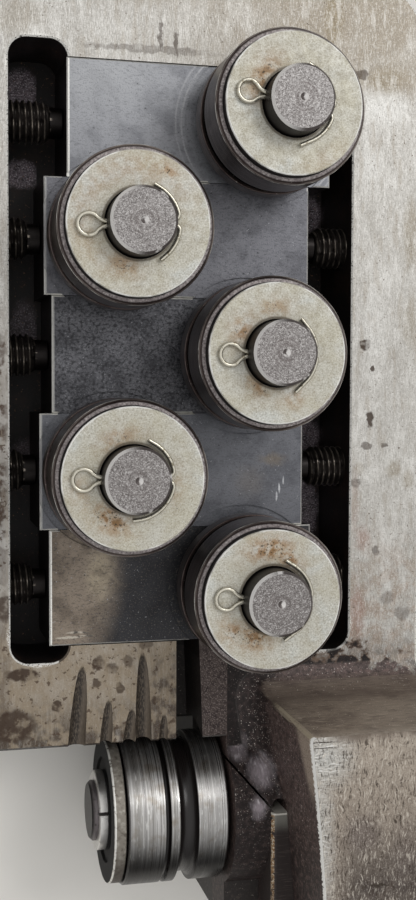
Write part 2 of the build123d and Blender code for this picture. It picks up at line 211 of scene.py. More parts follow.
def grain(tree, where, width, detail=3.0, stretch=(1, 1, 1)):
    """Noise whose grains are about that wide in metres, longer along an axis by its stretch."""
    scale = tuple(1 / (width * s) for s in stretch)
    placed = add(tree, "ShaderNodeMapping", {"Vector": where, "Scale": scale})
    return add(tree, "ShaderNodeTexNoise", {"Vector": placed, "Scale": 1.0, "Detail": detail,
                                            "Roughness": 0.55})


def spots(tree, where, width, share):
    """Spots about that wide that cover roughly that share of the surface."""
    noise = grain(tree, where, width, 2.0)
    level = 0.5 + 0.23 * (0.5 - share) / 0.5
    return rising(tree, noise, level - spot_edge, level + spot_edge)


def warped(tree, where, width, push):
    """The coordinates pushed about by up to that far, in waves about that wide, so that lines wander."""
    placed = add(tree, "ShaderNodeMapping", {"Vector": where, "Scale": (1 / width, 1 / width, 1 / width)})
    noise = add(tree, "ShaderNodeTexNoise", {"Vector": placed, "Scale": 1.0}).node.outputs["Color"]
    centred = add(tree, "ShaderNodeVectorMath", {0: noise, 1: (0.5, 0.5, 0.5)}, operation="SUBTRACT")
    pushed = add(tree, "ShaderNodeVectorMath", {0: centred, "Scale": 2 * push}, operation="SCALE")
    return add(tree, "ShaderNodeVectorMath", {0: where, 1: pushed}, operation="ADD")


def patches(tree, where, places, edge=0.5, ragged=1.4 * mm):
    """Where any of the soft ellipsoids lies; each is x, y, z and three radii in mm, then its strength."""
    where = warped(tree, where, 2.4 * mm, ragged)
    total = 0.0
    for place in places:
        shrink = tuple(1 / (radius * mm) for radius in place[3:6])
        shift = tuple(-middle / radius for middle, radius in zip(place[:3], place[3:6]))
        shared = add(tree, "ShaderNodeVectorMath", {0: where, 1: shrink, 2: shift}, operation="MULTIPLY_ADD")
        away = add(tree, "ShaderNodeVectorMath", {0: shared}, operation="LENGTH").node.outputs["Value"]
        total = either(tree, rising(tree, away, 1.0, 1.0 - edge, 0.0, place[6]), total)
    return total


def within(tree, value, low, high, soft=0.1 * mm):
    """Where a value lies between two others, with soft ends."""
    return both(tree, rising(tree, value, low - soft, low + soft),
                rising(tree, value, high + soft, high - soft))


def away_from(tree, where, x, y):
    """Distance in plan from an upright axis."""
    placed = add(tree, "ShaderNodeVectorMath", {0: where, 1: (x, y, 0)}, operation="SUBTRACT")
    flat = add(tree, "ShaderNodeVectorMath", {0: placed, 1: (1, 1, 0)}, operation="MULTIPLY")
    return add(tree, "ShaderNodeVectorMath", {0: flat}, operation="LENGTH").node.outputs["Value"]


def new_finish(name):
    """An empty material with its surface shader, its tree and object coordinates."""
    material = bpy.data.materials.new(name)
    material.use_nodes = True
    tree = material.node_tree
    shader = tree.nodes["Principled BSDF"]
    where = add(tree, "ShaderNodeTexCoord").node.outputs["Object"]
    return material, tree, shader, where


def connect(tree, shader, colour, roughness, metallic, height=None, distance=0.1 * mm, strength=1.0):
    """Feed a colour, a roughness, a metallic share and a bump height into the surface shader."""
    sources = {"Base Color": colour, "Roughness": roughness, "Metallic": metallic}
    for name, source in sources.items():
        if isinstance(source, bpy.types.NodeSocket):
            tree.links.new(source, shader.inputs[name])
        else:
            shader.inputs[name].default_value = source
    if height is not None:
        bump = add(tree, "ShaderNodeBump", {"Height": height, "Distance": distance, "Strength": strength})
        tree.links.new(bump, shader.inputs["Normal"])


def turned_place(tree):
    """The vector that a turned surface carries, and its parts: radius X, height Y and an extra value Z."""
    profile = add(tree, "ShaderNodeAttribute", attribute_name="turned").node.outputs["Vector"]
    return profile, add(tree, "ShaderNodeSeparateXYZ", {0: profile}).node.outputs


def broken_edges(tree):
    """A mask of the chamfers and rounded edges: where the surface faces none of the three axes."""
    normal = add(tree, "ShaderNodeNewGeometry").node.outputs["True Normal"]
    straight = add(tree, "ShaderNodeVectorMath", {0: normal}, operation="ABSOLUTE")
    axes = add(tree, "ShaderNodeSeparateXYZ", {0: straight}).node.outputs
    largest = add(tree, "ShaderNodeMath", {0: axes["X"], 1: axes["Y"]}, operation="MAXIMUM")
    largest = add(tree, "ShaderNodeMath", {0: largest, 1: axes["Z"]}, operation="MAXIMUM")
    return rising(tree, largest, 0.99, 0.9)


def dress(node_name, material):
    """Give a carried-over node of the model its finish."""
    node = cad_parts[node_name]
    if not node.material_slots:
        node.data.materials.append(material)
    for slot in node.material_slots:
        slot.material = material


def centre_of(node_name):
    """The middle of a node's box, and its lowest and highest corners, as arrays."""
    low, high = (np.array(corner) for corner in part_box(node_name))
    return (low + high) / 2, low, high


def surface(name, points, material, body, stands_for, attributes=None, sharp=35.0):
    """A closed surface from a grid of points: first index along the profile, second round the axis.

    Each square of the grid is one face. Both directions close on themselves, and rows that lie on the
    axis shrink to a pole when doubles are merged.
    """
    rows, columns = points.shape[:2]
    index = np.arange(rows * columns).reshape(rows, columns)
    right = np.roll(index, -1, axis=1)
    above = np.roll(index, -1, axis=0)
    faces = np.stack([index, right, np.roll(above, -1, axis=1), above], axis=-1).reshape(-1, 4)
    mesh = bpy.data.meshes.new(name)
    mesh.vertices.add(rows * columns)
    mesh.vertices.foreach_set("co", points.reshape(-1))
    mesh.loops.add(faces.size)
    mesh.loops.foreach_set("vertex_index", faces.reshape(-1))
    mesh.polygons.add(len(faces))
    mesh.polygons.foreach_set("loop_start", np.arange(len(faces)) * 4)
    mesh.update(calc_edges=True)
    for key, values in (attributes or {}).items():
        layer = mesh.attributes.new(key, "FLOAT_VECTOR", "POINT")
        layer.data.foreach_set("vector", np.ascontiguousarray(values, dtype=np.float32).reshape(-1))
    shell = bmesh.new()
    shell.from_mesh(mesh)
    bmesh.ops.remove_doubles(shell, verts=shell.verts, dist=1e-7)
    bmesh.ops.dissolve_degenerate(shell, edges=shell.edges, dist=1e-7)
    bmesh.ops.delete(shell, geom=[e for e in shell.edges if not e.link_faces], context="EDGES")
    bmesh.ops.recalc_face_normals(shell, faces=shell.faces)
    shell.to_mesh(mesh)
    shell.free()
    mesh.shade_smooth()
    mesh.set_sharp_from_angle(angle=math.radians(sharp))
    mesh.materials.append(material)
    piece = bpy.data.objects.new(name, mesh)
    bpy.context.scene.collection.objects.link(piece)
    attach(piece, body)
    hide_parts(stands_for)
    return piece


def rounded_profile(corners, steps=6):
    """A closed profile from corners of (radius, height, fillet), each fillet an arc tangent to both sides."""
    places = np.array([c[:2] for c in corners], dtype=float)
    before = np.roll(places, 1, axis=0) - places
    after = np.roll(places, -1, axis=0) - places
    before /= np.linalg.norm(before, axis=1, keepdims=True)
    after /= np.linalg.norm(after, axis=1, keepdims=True)
    profile = []
    for place, back, ahead, corner in zip(places, before, after, corners):
        if corner[2] == 0:
            profile.append(place)
            continue
        half = math.acos(np.clip(back @ ahead, -1, 1)) / 2
        middle = place + (back + ahead) / np.linalg.norm(back + ahead) * corner[2] / math.sin(half)
        start = place + back * corner[2] / math.tan(half) - middle
        end = place + ahead * corner[2] / math.tan(half) - middle
        share = np.linspace(0, 1, steps)[:, None]
        turn = math.pi - 2 * half
        arc = start * np.sin((1 - share) * turn) + end * np.sin(share * turn)
        profile.extend(middle + arc / math.sin(turn))
    return np.array(profile)


def refined(profile, step):
    """The closed profile with points added so that no two are further apart than the step."""
    ends = np.roll(profile, -1, axis=0)
    pieces = []
    for start, end in zip(profile, ends):
        count = max(1, math.ceil(np.linalg.norm(end - start) / step))
        pieces.append(start + (end - start) * np.arange(count)[:, None] / count)
    return np.concatenate(pieces)


def turned(profile, centre, axis, columns, wear=None):
    """Points of a profile turned round an axis, and their radius and height as an attribute.

    A point at (r, h) and angle t lies at centre + (r cos t, r sin t) across the axis and h along it,
    after wear(t, r, h) has been added to r.
    """
    angle = np.arange(columns) * 2 * math.pi / columns
    radius = np.repeat(profile[:, :1], columns, axis=1)
    height = np.repeat(profile[:, 1:], columns, axis=1)
    if wear:
        radius = radius + wear(angle[None, :], radius, height)
    across_a = radius * np.cos(angle)
    across_b = radius * np.sin(angle)
    along = height
    order = (across_a, across_b, along) if axis == "Z" else (along, across_a, across_b)
    points = np.stack(order, axis=-1) + np.asarray(centre)
    return points, np.stack([radius, height, np.zeros_like(radius)], axis=-1)


def ripple(angle, seed, waves, low=3, high=40):
    """A sum of sines round a turn, with seeded counts and phases, between about -1 and 1."""
    random = np.random.default_rng(seed)
    counts = random.integers(low, high, waves)
    phases = random.uniform(0, 2 * math.pi, waves)
    total = sum(np.sin(count * angle + phase) for count, phase in zip(counts, phases))
    return total / math.sqrt(waves)


def set_up_camera():
    """The camera where the photograph was taken from: almost straight down, tipped towards the arm."""
    turn = Vector((math.radians(2.85993), math.radians(13.90131), math.radians(0.14850)))
    look = Matrix.Rotation(turn.length, 3, turn.normalized()).transposed().to_4x4()
    look.translation = Vector((-0.091184, -0.010716, 0.44897))
    data = bpy.data.cameras.new("view_camera")
    data.lens = 49.61
    data.sensor_width = 36.0
    camera = bpy.data.objects.new("view_camera", data)
    camera.matrix_world = look
    bpy.context.scene.collection.objects.link(camera)
    bpy.context.scene.camera = camera


def set_up_lamp(name, place, aim, width, power):
    """A square soft lamp that faces its aim."""
    data = bpy.data.lights.new(name, "AREA")
    data.size = width
    data.energy = power
    lamp = bpy.data.objects.new(name, data)
    lamp.location = place
    lamp.rotation_euler = (Vector(aim) - Vector(place)).to_track_quat("-Z", "Y").to_euler()
    bpy.context.scene.collection.objects.link(lamp)


def set_up_sky():
    """A soft tent of light, brighter overhead than at the sides."""
    world = bpy.data.worlds.new("studio_tent")
    bpy.context.scene.world = world
    world.use_nodes = True
    tree = world.node_tree
    aim = add(tree, "ShaderNodeTexCoord").node.outputs["Generated"]
    height = add(tree, "ShaderNodeSeparateXYZ", {0: aim}).node.outputs["Z"]
    level = rising(tree, height, 0.0, 1.0, 0.2, 1.02)
    tree.nodes["Background"].inputs["Color"].default_value = (1.0, 1.0, 1.0, 1.0)
    tree.links.new(level, tree.nodes["Background"].inputs["Strength"])


def studio_floor(colours):
    """A wide floor, level to within a hair so that it isn't a perfect plane, painted pale."""
    count = 25
    steps = np.linspace(-1.5, 1.5, count)
    across, along = np.meshgrid(steps, steps, indexing="ij")
    height = -0.0002 * (1 - np.cos(across * 2) * np.cos(along * 2))
    points = np.stack([across, along, height], axis=-1).reshape(-1, 3)
    index = np.arange(count * count).reshape(count, count)
    faces = np.stack([index[:-1, :-1], index[1:, :-1], index[1:, 1:], index[:-1, 1:]], axis=-1)
    mesh = bpy.data.meshes.new("floor")
    mesh.from_pydata(points.tolist(), [], faces.reshape(-1, 4).tolist())
    mesh.shade_smooth()
    material, tree, shader, where = new_finish("floor_paint")
    cloudy = grain(tree, where, 60 * mm, 4.0)
    pale = tuple(min(1.0, 1.05 * c) for c in colours.floor_paint[:3]) + (1.0,)
    colour = layered(tree, colours.floor_paint, [(cloudy, 0.35, 0.7, 1.0, pale)])
    connect(tree, shader, colour, 0.8, 0.0)
    mesh.materials.append(material)
    floor = bpy.data.objects.new("floor", mesh)
    bpy.context.scene.collection.objects.link(floor)
    floor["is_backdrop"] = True


class STRAIGHTENER_OT_stage(bpy.types.Operator):
    """Set up the camera, the soft lamp, the tent of light and the pale floor"""
    bl_idname = "straightener.stage"
    bl_label = "Stage"

    def execute(self, context):
        context.scene.view_settings.view_transform = "Standard"
        set_up_camera()
        set_up_sky()
        set_up_lamp("key_lamp", (0.95, 0.85, 1.75), (0.0, -0.02, 0.05), 0.7, 11.0)
        studio_floor(context.scene.straightener_colours)
        return {"FINISHED"}


# Marks on the ground top of the bed: x, y and two radii in mm, then strength
olive_marks = [
    (73.4, -38.6, 4, 4, 0.5), (79.4, 42, 4.5, 16, 0.5), (79, 12, 4, 12, 0.4), (70, 94, 10, 6, 0.6),
    (50.5, 112, 5, 14, 0.9), (57, 92, 7, 5, 0.8), (-55, 106, 12, 8, 0.35), (-20, 118, 26, 7, 0.3),
    (79, -42, 3, 5, 0.5), (61, -38, 2.4, 3, 0.5)]
pink_marks = [
    (60.5, -88, 4.4, 15, 0.6), (62.4, -62, 4, 6, 0.5), (59.5, -50, 2, 18, 0.3)]
bright_marks = [
    (69, 84, 14, 8, 0.6), (64, 66, 6, 16, 0.4), (66, 10, 7, 30, 0.3), (-50.6, 102.5, 5, 4, 0.5),
    (70, -70, 8, 22, 0.25)]
dark_marks = [
    (-54, -103.4, 6.5, 2.6, 0.95), (-59.3, -81.4, 3, 5.5, 0.8), (-57, -120, 8.5, 6.5, 0.9),
    (-42.7, -114.1, 1.9, 2.2, 0.9), (-28.9, -100.7, 2.6, 2.6, 0.8), (-24.6, -102.6, 2.4, 2, 0.7),
    (-19.3, -100.9, 2.2, 2.6, 0.6), (-21.9, -109.4, 1.7, 2.1, 0.8), (-29.9, -107.6, 1.7, 1.8, 0.8),
    (-13.2, -95.2, 2.8, 1.6, 0.6), (-10.2, -114, 1.9, 1.6, 0.8), (62.8, 4.2, 2.5, 2.4, 0.95),
    (65.3, -3.6, 1, 1, 0.9), (64.7, -21, 1.7, 3, 0.9), (63.4, -30.3, 2.2, 1.5, 0.6),
    (70, -30, 1.5, 1.1, 0.7), (59.5, -42.6, 2.4, 1.8, 0.6), (67.4, -66.2, 1.4, 2, 0.6),
    (72, -83, 3.4, 2.6, 0.35), (77.3, -88.5, 3.4, 3, 0.4), (60.5, 95, 3.4, 2, 0.7),
    (-12, 98.6, 26, 1.6, 0.45), (-8.8, 103.3, 0.9, 6, 0.7), (-3.5, 100.5, 1, 5, 0.7)]


def on_plate(marks):
    """Marks on the ground top, as the ellipsoids that patches takes."""
    return [(x, y, 50, across, along, 9, strength) for x, y, across, along, strength in marks]


def plate_coats(tree, where, axes, brush):
    """Coats of the ground top: cloudy, browner at the far end, the left strip and the lip, and spotted."""
    cloud = grain(tree, where, 9 * mm, 3.0, (1, 1.6, 1))
    mottle = grain(tree, where, 4 * mm, 4.0)
    fine = grain(tree, where, fine_grain, 2.0)
    near_lip = both(tree, rising(tree, axes["Y"], -66 * mm, -98 * mm),
                    rising(tree, axes["X"], 12 * mm, -5 * mm))
    left_strip = both(tree, rising(tree, axes["X"], -56 * mm, -60 * mm),
                      rising(tree, axes["Y"], 20 * mm, -6 * mm))
    far_end = both(tree, rising(tree, axes["X"], -20 * mm, 40 * mm),
                   rising(tree, axes["Y"], 86 * mm, 94 * mm),
                   rising(tree, cloud, 0.3, 0.6, 0.6, 1.0))
    brown = either(tree, near_lip, left_strip)
    yield cloud, 0.5, 0.7, 0.5, "#a29e97"
    yield cloud, 0.46, 0.3, 0.45, "#d3d1cc"
    yield both(tree, far_end, 0.95), "#948b7d"
    yield patches(tree, where, on_plate(bright_marks), 0.9), "#dddcd8"
    yield both(tree, near_lip, rising(tree, mottle, 0.3, 0.6, 0.8, 1.0)), "#8c7f6d"
    yield (both(tree, left_strip, rising(tree, axes["Y"], -50 * mm, -72 * mm, 1.0, 0.5),
                rising(tree, mottle, 0.62, 0.46, 0.35, 1.0)), "#48392f")
    yield both(tree, rising(tree, axes["Y"], -50 * mm, -84 * mm), rising(tree, axes["X"], 48 * mm, 58 * mm),
               rising(tree, mottle, 0.35, 0.65, 0.0, 0.7)), "#978473"
    yield (both(tree, near_lip, rising(tree, axes["Y"], -108 * mm, -127 * mm),
                rising(tree, mottle, 0.6, 0.45, 0.15, 0.9)), "#42372e")
    yield (both(tree, rising(tree, axes["Y"], -92 * mm, -108 * mm),
                rising(tree, axes["X"], -22 * mm, -6 * mm),
                rising(tree, mottle, 0.65, 0.4, 0.2, 0.9)), "#3f342c")
    yield patches(tree, where, on_plate(olive_marks), 0.7), "#867a64"
    yield patches(tree, where, on_plate(pink_marks), 0.8), "#926d5d"
    clean = rising(tree, brown, 0.0, 0.8, 1.0, 0.25)
    yield both(tree, rising(tree, brush, 0.5, 0.72, 0.0, 0.33), clean), "#eae8e4"
    yield both(tree, rising(tree, brush, 0.5, 0.28, 0.0, 0.4), clean), "#76716a"
    broad = grain(tree, where, 2.2 * mm, 2.0, (1, 5, 1))
    yield broad, 0.52, 0.68, 0.4, "#9a9184"
    yield both(tree, rising(tree, broad, 0.46, 0.3, 0.0, 0.35), clean), "#dcdad5"
    yield fine, 0.55, 0.7, 0.4, "#837c73"
    yield both(tree, rising(tree, fine, 0.45, 0.32, 0.0, 0.25), clean), "#f0eeea"
    yield spots(tree, where, 0.9 * mm, 0.04), "#6b6156"
    yield both(tree, spots(tree, where, 1.7 * mm, 0.2), rising(tree, brown, 0.2, 0.9, 0.1, 0.8)), "#4b3c31"
    yield (both(tree, patches(tree, where, on_plate(dark_marks), 0.35),
                rising(tree, mottle, 0.66, 0.5, 0.3, 1.0)),
           "#40332a")


def arm_top_coats(tree, where, axes, streaks):
    """Coats of the arm's top: silver grey where hands rub its inner edge, brown beyond, wandering marks."""
    fine = grain(tree, where, fine_grain, 2.0)
    cloud = grain(tree, where, 5 * mm, 4.0)
    yield axes["Y"], -142 * mm, -116 * mm, 0.6, "#b0a598"
    yield cloud, 0.45, 0.7, 0.45, "#776c61"
    yield (both(tree, rising(tree, axes["Y"], -138 * mm, -163 * mm),
                rising(tree, axes["X"], 30 * mm, 44 * mm),
                rising(tree, cloud, 0.7, 0.3, 0.7, 1.0)), "#4d4541")
    yield patches(tree, where, [(44, -146, 100, 9, 9, 20, 0.6), (58, -152, 100, 7, 14, 20, 0.3)],
                  0.8), "#645a57"
    silver = patches(tree, where, [(31, -122, 100, 14, 14, 20, 0.85), (30, -150, 100, 7, 46, 20, 0.7)], 0.9)
    yield silver, "#bdbcb7"
    yield streaks, 0.46, 0.3, 0.9, "#40372f"
    yield streaks, 0.54, 0.7, 0.6, "#d3cbbe"
    across = grain(tree, warped(tree, where, 5 * mm, 1.6 * mm), 0.5 * mm, 2.0, (6, 1, 1))
    yield both(tree, silver, rising(tree, across, 0.45, 0.3, 0.0, 0.8)), "#5b5650"
    yield both(tree, silver, rising(tree, across, 0.54, 0.68, 0.0, 0.8)), "#efeeea"
    yield fine, 0.54, 0.7, 0.4, "#463e38"
    yield fine, 0.44, 0.3, 0.3, "#c9c2b7"
    cut = within(tree, axes["Y"], -117.2 * mm, -116.8 * mm, 0.15 * mm)
    cut = either(tree, cut, within(tree, axes["Y"], -118.9 * mm, -118.6 * mm, 0.15 * mm))
    yield both(tree, cut, rising(tree, axes["X"], 38 * mm, 33 * mm), rising(tree, fine, 0.3, 0.5)), "#3a322b"
    yield both(tree, rising(tree, axes["Y"], -118.5 * mm, -115.6 * mm),
               rising(tree, axes["X"], 31 * mm, 38 * mm),
               rising(tree, cloud, 0.3, 0.6, 0.3, 0.9)), "#6f645a"
    yield patches(tree, where, [(50, -162.6, 100, 3.6, 0.7, 9, 0.9)], 0.5), "#3a322b"


def arm_front_coats(tree, where, axes, rough, fine, scratch):
    """Coats of the upright front of the arm: oily brown, scratched along X, darker towards its foot."""
    yield rising(tree, grain(tree, where, 9 * mm, 3.0), 0.4, 0.7, 0.0, 0.6), "#5f534b"
    yield scratch, 0.56, 0.7, 0.65, "#b5a897"
    yield scratch, 0.44, 0.3, 0.65, "#463b34"
    yield fine, 0.55, 0.7, 0.5, "#4e433c"
    yield axes["Z"], 72 * mm, 56 * mm, 0.55, "#4b3f3b"
    yield both(tree, rising(tree, axes["Z"], 94 * mm, 99.5 * mm),
               rising(tree, rough, 0.35, 0.6, 0.3, 1.0)), "#a3978a"
    yield spots(tree, where, 0.6 * mm, 0.05), "#d3c9bc"


def arm_side_coats(tree, where, axes, facing, rough, fine, scratch, colours):
    """Coats of the cast sides: reddish black with specks painted as glints and painted shade in the cove,
    then front, a painted highlight band, corner, boss, rib and top edge; the corner, boss, rib and top edge
    carry painted highlights.
    """
    yield axes["Y"], -140 * mm, -166 * mm, 0.9, "#332a28"
    yield rough, 0.45, 0.7, 0.7, "#735f5a"
    yield rough, 0.5, 0.3, 0.6, "#2b2220"
    yield fine, 0.45, 0.3, 0.8, "#1d1615"
    # Painted shade: the up-facing cove by the arm's foot is darkened
    yield both(tree, rising(tree, facing["Z"], 0.0, 0.5), rising(tree, axes["X"], 35 * mm, 29 * mm),
               rising(tree, rough, 0.3, 0.7, 1.0, 0.7)), "#231c1b"
    # The light specks are painted glints off grease
    specks = both(tree, spots(tree, where, 0.5 * mm, 0.14), rising(tree, rough, 0.38, 0.52),
                  rising(tree, axes["Y"], -166 * mm, -140 * mm, 0.3, 1.0))
    yield specks, "#cfc6bf"
    front = layered(tree, colours.arm_front, arm_front_coats(tree, where, axes, rough, fine, scratch))
    yield both(tree, rising(tree, facing["Y"], 0.5, 0.75), rising(tree, axes["X"], 24 * mm, 27 * mm)), front
    # Painted highlight: a bright band along the top of the -X wall, narrowing towards -Y
    above = add(tree, "ShaderNodeMath", {0: axes["Y"], 1: 0.35, 2: -46.2 * mm}, operation="MULTIPLY_ADD")
    above = add(tree, "ShaderNodeMath", {0: axes["Z"], 1: above}, operation="ADD")
    yield both(tree, rising(tree, above, -3.0 * mm, 3.0 * mm), rising(tree, axes["Y"], -141 * mm, -128 * mm),
               rising(tree, axes["X"], 34 * mm, 31 * mm), rising(tree, fine, 0.25, 0.6, 0.4, 1.0),
               rising(tree, facing["X"], -0.1, -0.3)), "#a8998b"
    # Painted highlight on the rounded corner between the -X wall and the front
    yield both(tree, rising(tree, facing["X"], -0.3, -0.55), rising(tree, facing["Y"], 0.3, 0.55),
               rising(tree, axes["Z"], 60 * mm, 70 * mm), rising(tree, rough, 0.3, 0.5, 0.5, 1.0)), "#b5a994"
    # Painted sheen on the top of the boss
    boss = patches(tree, where, [(24.5, -138.5, 57, 6, 8, 9, 1.0), (22.5, -149, 61, 4, 5, 7, 1.0),
                                 (18, -132, 52, 5, 7, 6, 0.6)], 0.9)
    sheen = grain(tree, warped(tree, where, 5 * mm, 1.6 * mm), 0.9 * mm, 3.0, (1, 3.5, 3.5))
    yield both(tree, boss, rising(tree, sheen, 0.2, 0.6, 0.6, 1.0)), "#a89ea3"
    yield both(tree, boss, rising(tree, sheen, 0.5, 0.75, 0.0, 0.7)), "#f2edf0"
    # Rust along the rib's left edge, with a painted highlight along that edge
    rusty = both(tree, rising(tree, axes["X"], 27.5 * mm, 27.1 * mm),
                 rising(tree, axes["Z"], 61.6 * mm, 62.2 * mm),
                 rising(tree, rough, 0.36, 0.5), rising(tree, axes["Y"], -186 * mm, -168 * mm, 0.3, 1.0))
    rib_skin = layered(tree, "#332c2a", [
        (rising(tree, scratch, 0.5, 0.7, 0.0, 0.5), "#574e4a"),
        (both(tree, rising(tree, axes["Y"], -158 * mm, -152 * mm),
              rising(tree, axes["Z"], 62.6 * mm, 63.2 * mm)), "#7b7972"),
        (rusty, "#8d6b47"), (both(tree, rusty, rising(tree, fine, 0.5, 0.6)), "#d3c8b4"),
        # Painted highlight at the rib's end
        (rising(tree, axes["Y"], -151.5 * mm, -151.2 * mm), "#cfccc2")])
    yield both(tree, rising(tree, axes["Y"], -150.6 * mm, -150.8 * mm),
               rising(tree, axes["X"], 26.4 * mm, 26.6 * mm),
               within(tree, axes["Z"], 50 * mm, 64.2 * mm)), rib_skin
    # Painted highlight along the top edge of the -X wall, jagged by noise
    jagged = add(tree, "ShaderNodeMath", {0: grain(tree, where, 0.8 * mm, 2.0), 1: 3 * mm, 2: axes["Z"]},
                 operation="MULTIPLY_ADD")
    yield (both(tree, rising(tree, facing["X"], -0.3, -0.45), rising(tree, jagged, 99.7 * mm, 100.2 * mm)),
           "#f4f3ef")


def pocket_coats(tree, where, axes, rough, fine):
    """Coats of the pocket and its slots: brown black dirt with painted shadow, and bare grey casting between
    the screws.
    """
    yield rising(tree, grain(tree, where, 8 * mm, 4.0), 0.45, 0.65, 0.0, 0.8), "#2a1f1a"
    bare = patches(tree, where, [(-51, 90, 18, 8, 9, 8, 1.0), (-51, 62, 18, 8, 6, 8, 1.0),
                                 (-50, 9, 18, 6, 12, 8, 0.4), (-50, -35, 18, 6, 8, 8, 0.3),
                                 (52, -54, 18, 6, 15, 8, 0.9), (53, -28, 18, 6, 7, 8, 0.8),
                                 (53, 52, 18, 6, 8, 8, 0.9)])
    bare = both(tree, bare, either(tree, rising(tree, axes["X"], -45.2 * mm, -45.5 * mm),
                                   rising(tree, axes["X"], 40 * mm, 42 * mm)))
    yield both(tree, bare, rising(tree, rough, 0.3, 0.6, 0.3, 1.0)), "#82767d"
    yield both(tree, bare, rising(tree, fine, 0.55, 0.65, 0.0, 0.9)), "#d0c8cd"
    yield both(tree, bare, rising(tree, fine, 0.44, 0.36, 0.0, 0.8)), "#2d2629"
    yield spots(tree, where, 0.8 * mm, 0.06), "#7a5c45"


def bed_coats(tree, where, axes, facing, rough, fine, brush, top, dry_and_unshaded, colours):
    """Coats of the whole casting, one for each of its regions."""
    plate = layered(tree, colours.ground_iron, plate_coats(tree, where, axes, brush))
    yield top, plate
    # The pocket is dirt and painted shadow, dark except for the bare patches
    dirt = layered(tree, colours.oil_black_and_shade, pocket_coats(tree, where, axes, rough, fine))
    yield both(tree, within(tree, axes["X"], -58 * mm, 58 * mm), within(tree, axes["Y"], -101 * mm, 101 * mm),
               rising(tree, axes["Z"], 49.2 * mm, 48.6 * mm)), dirt
    # The groove walls facing -X are painted paler as the side that catches light
    polished = layered(tree, "#2c2621", [
        (rising(tree, brush, 0.42, 0.7, 0.0, 0.7), "#6a6054"),
        (rising(tree, facing["X"], -0.1, -0.5, 0.0, 0.6), "#6e6357")])
    worn = both(tree, within(tree, axes["X"], -42 * mm, -4 * mm),
                within(tree, axes["Y"], -129 * mm, -94 * mm))
    yield both(tree, worn, within(tree, axes["Z"], 45 * mm, 49.9 * mm),
               rising(tree, facing["Z"], 0.05, 0.3)), polished
    scratch = grain(tree, where, 0.45 * mm, 2.0, (12, 1, 1))
    walls = layered(tree, "#584a46",
                    arm_side_coats(tree, where, axes, facing, rough, fine, scratch, colours))
    yield both(tree, rising(tree, axes["Y"], -101 * mm, -105 * mm),
               rising(tree, axes["X"], 14 * mm, 14.5 * mm),
               either(tree, rising(tree, axes["Z"], 50.05 * mm, 50.25 * mm),
                      rising(tree, facing["Z"], 0.98, 0.92)),
               rising(tree, axes["X"], 82.8 * mm, 82.4 * mm),
               rising(tree, axes["Z"], 30 * mm, 32 * mm)), walls
    # Brown where the pale plate gives way to the dark foot
    yield (both(tree, top, rising(tree, dry_and_unshaded, 0.98, 0.7), rising(tree, dry_and_unshaded, 0.1, 0.4),
                rising(tree, rough, 0.25, 0.55, 0.5, 1.0)), "#6a594d")
    yield both(tree, rising(tree, axes["Z"], 49.8 * mm, 49.9 * mm), rising(tree, axes["Z"], 57 * mm, 53 * mm),
               rising(tree, facing["Z"], 0.5, 0.75), rising(tree, axes["X"], 50 * mm, 56 * mm),
               rising(tree, dry_and_unshaded, 0.5, 0.9)), plate
    # Painted shade on the lip beside the feed notch
    notch_painted_shade = layered(tree, "#4a413e", [
        (rising(tree, rough, 0.45, 0.7), "#332b2a"),
        (rising(tree, fine, 0.52, 0.64, 0.0, 0.6), "#8b807c")])
    yield both(tree, top, within(tree, axes["X"], 4.4 * mm, 14.5 * mm),
               rising(tree, axes["Y"], -90 * mm, -97 * mm)), notch_painted_shade
    # The plate by the arm's foot: oily casting, partly painted shade
    foot_oil_and_shade = layered(tree, "#1c1615", [
        (rising(tree, rough, 0.45, 0.7, 0.0, 0.7), "#322826"),
        (spots(tree, where, 0.55 * mm, 0.08), "#9a8f88")])
    yield both(tree, top, rising(tree, dry_and_unshaded, 0.7, 0.25)), foot_oil_and_shade
    rims = 0.0
    for x in (-48.1, 48.1):
        for side in (1, -1):
            radius = away_from(tree, where, x * mm, 90.5 * side * mm)
            beyond = rising(tree, axes["Y"], 86 * side * mm, 91 * side * mm)
            rims = either(tree, both(tree, within(tree, radius, 9 * mm, 10.7 * mm, 0.5 * mm), beyond), rims)
    chipped = both(tree, rims, top, rising(tree, fine, 0.42, 0.56), 0.9)
    edges = both(tree, broken_edges(tree), within(tree, axes["Z"], 49.2 * mm, 50.1 * mm),
                 rising(tree, fine, 0.36, 0.44))
    edges = both(tree, edges, rising(tree, worn, 1.0, 0.0),
                 rising(tree, axes["Y"], -127 * mm, -125 * mm, 0.1, 1.0))
    yield both(tree, either(tree, edges, chipped), dry_and_unshaded), colours.bright_steel


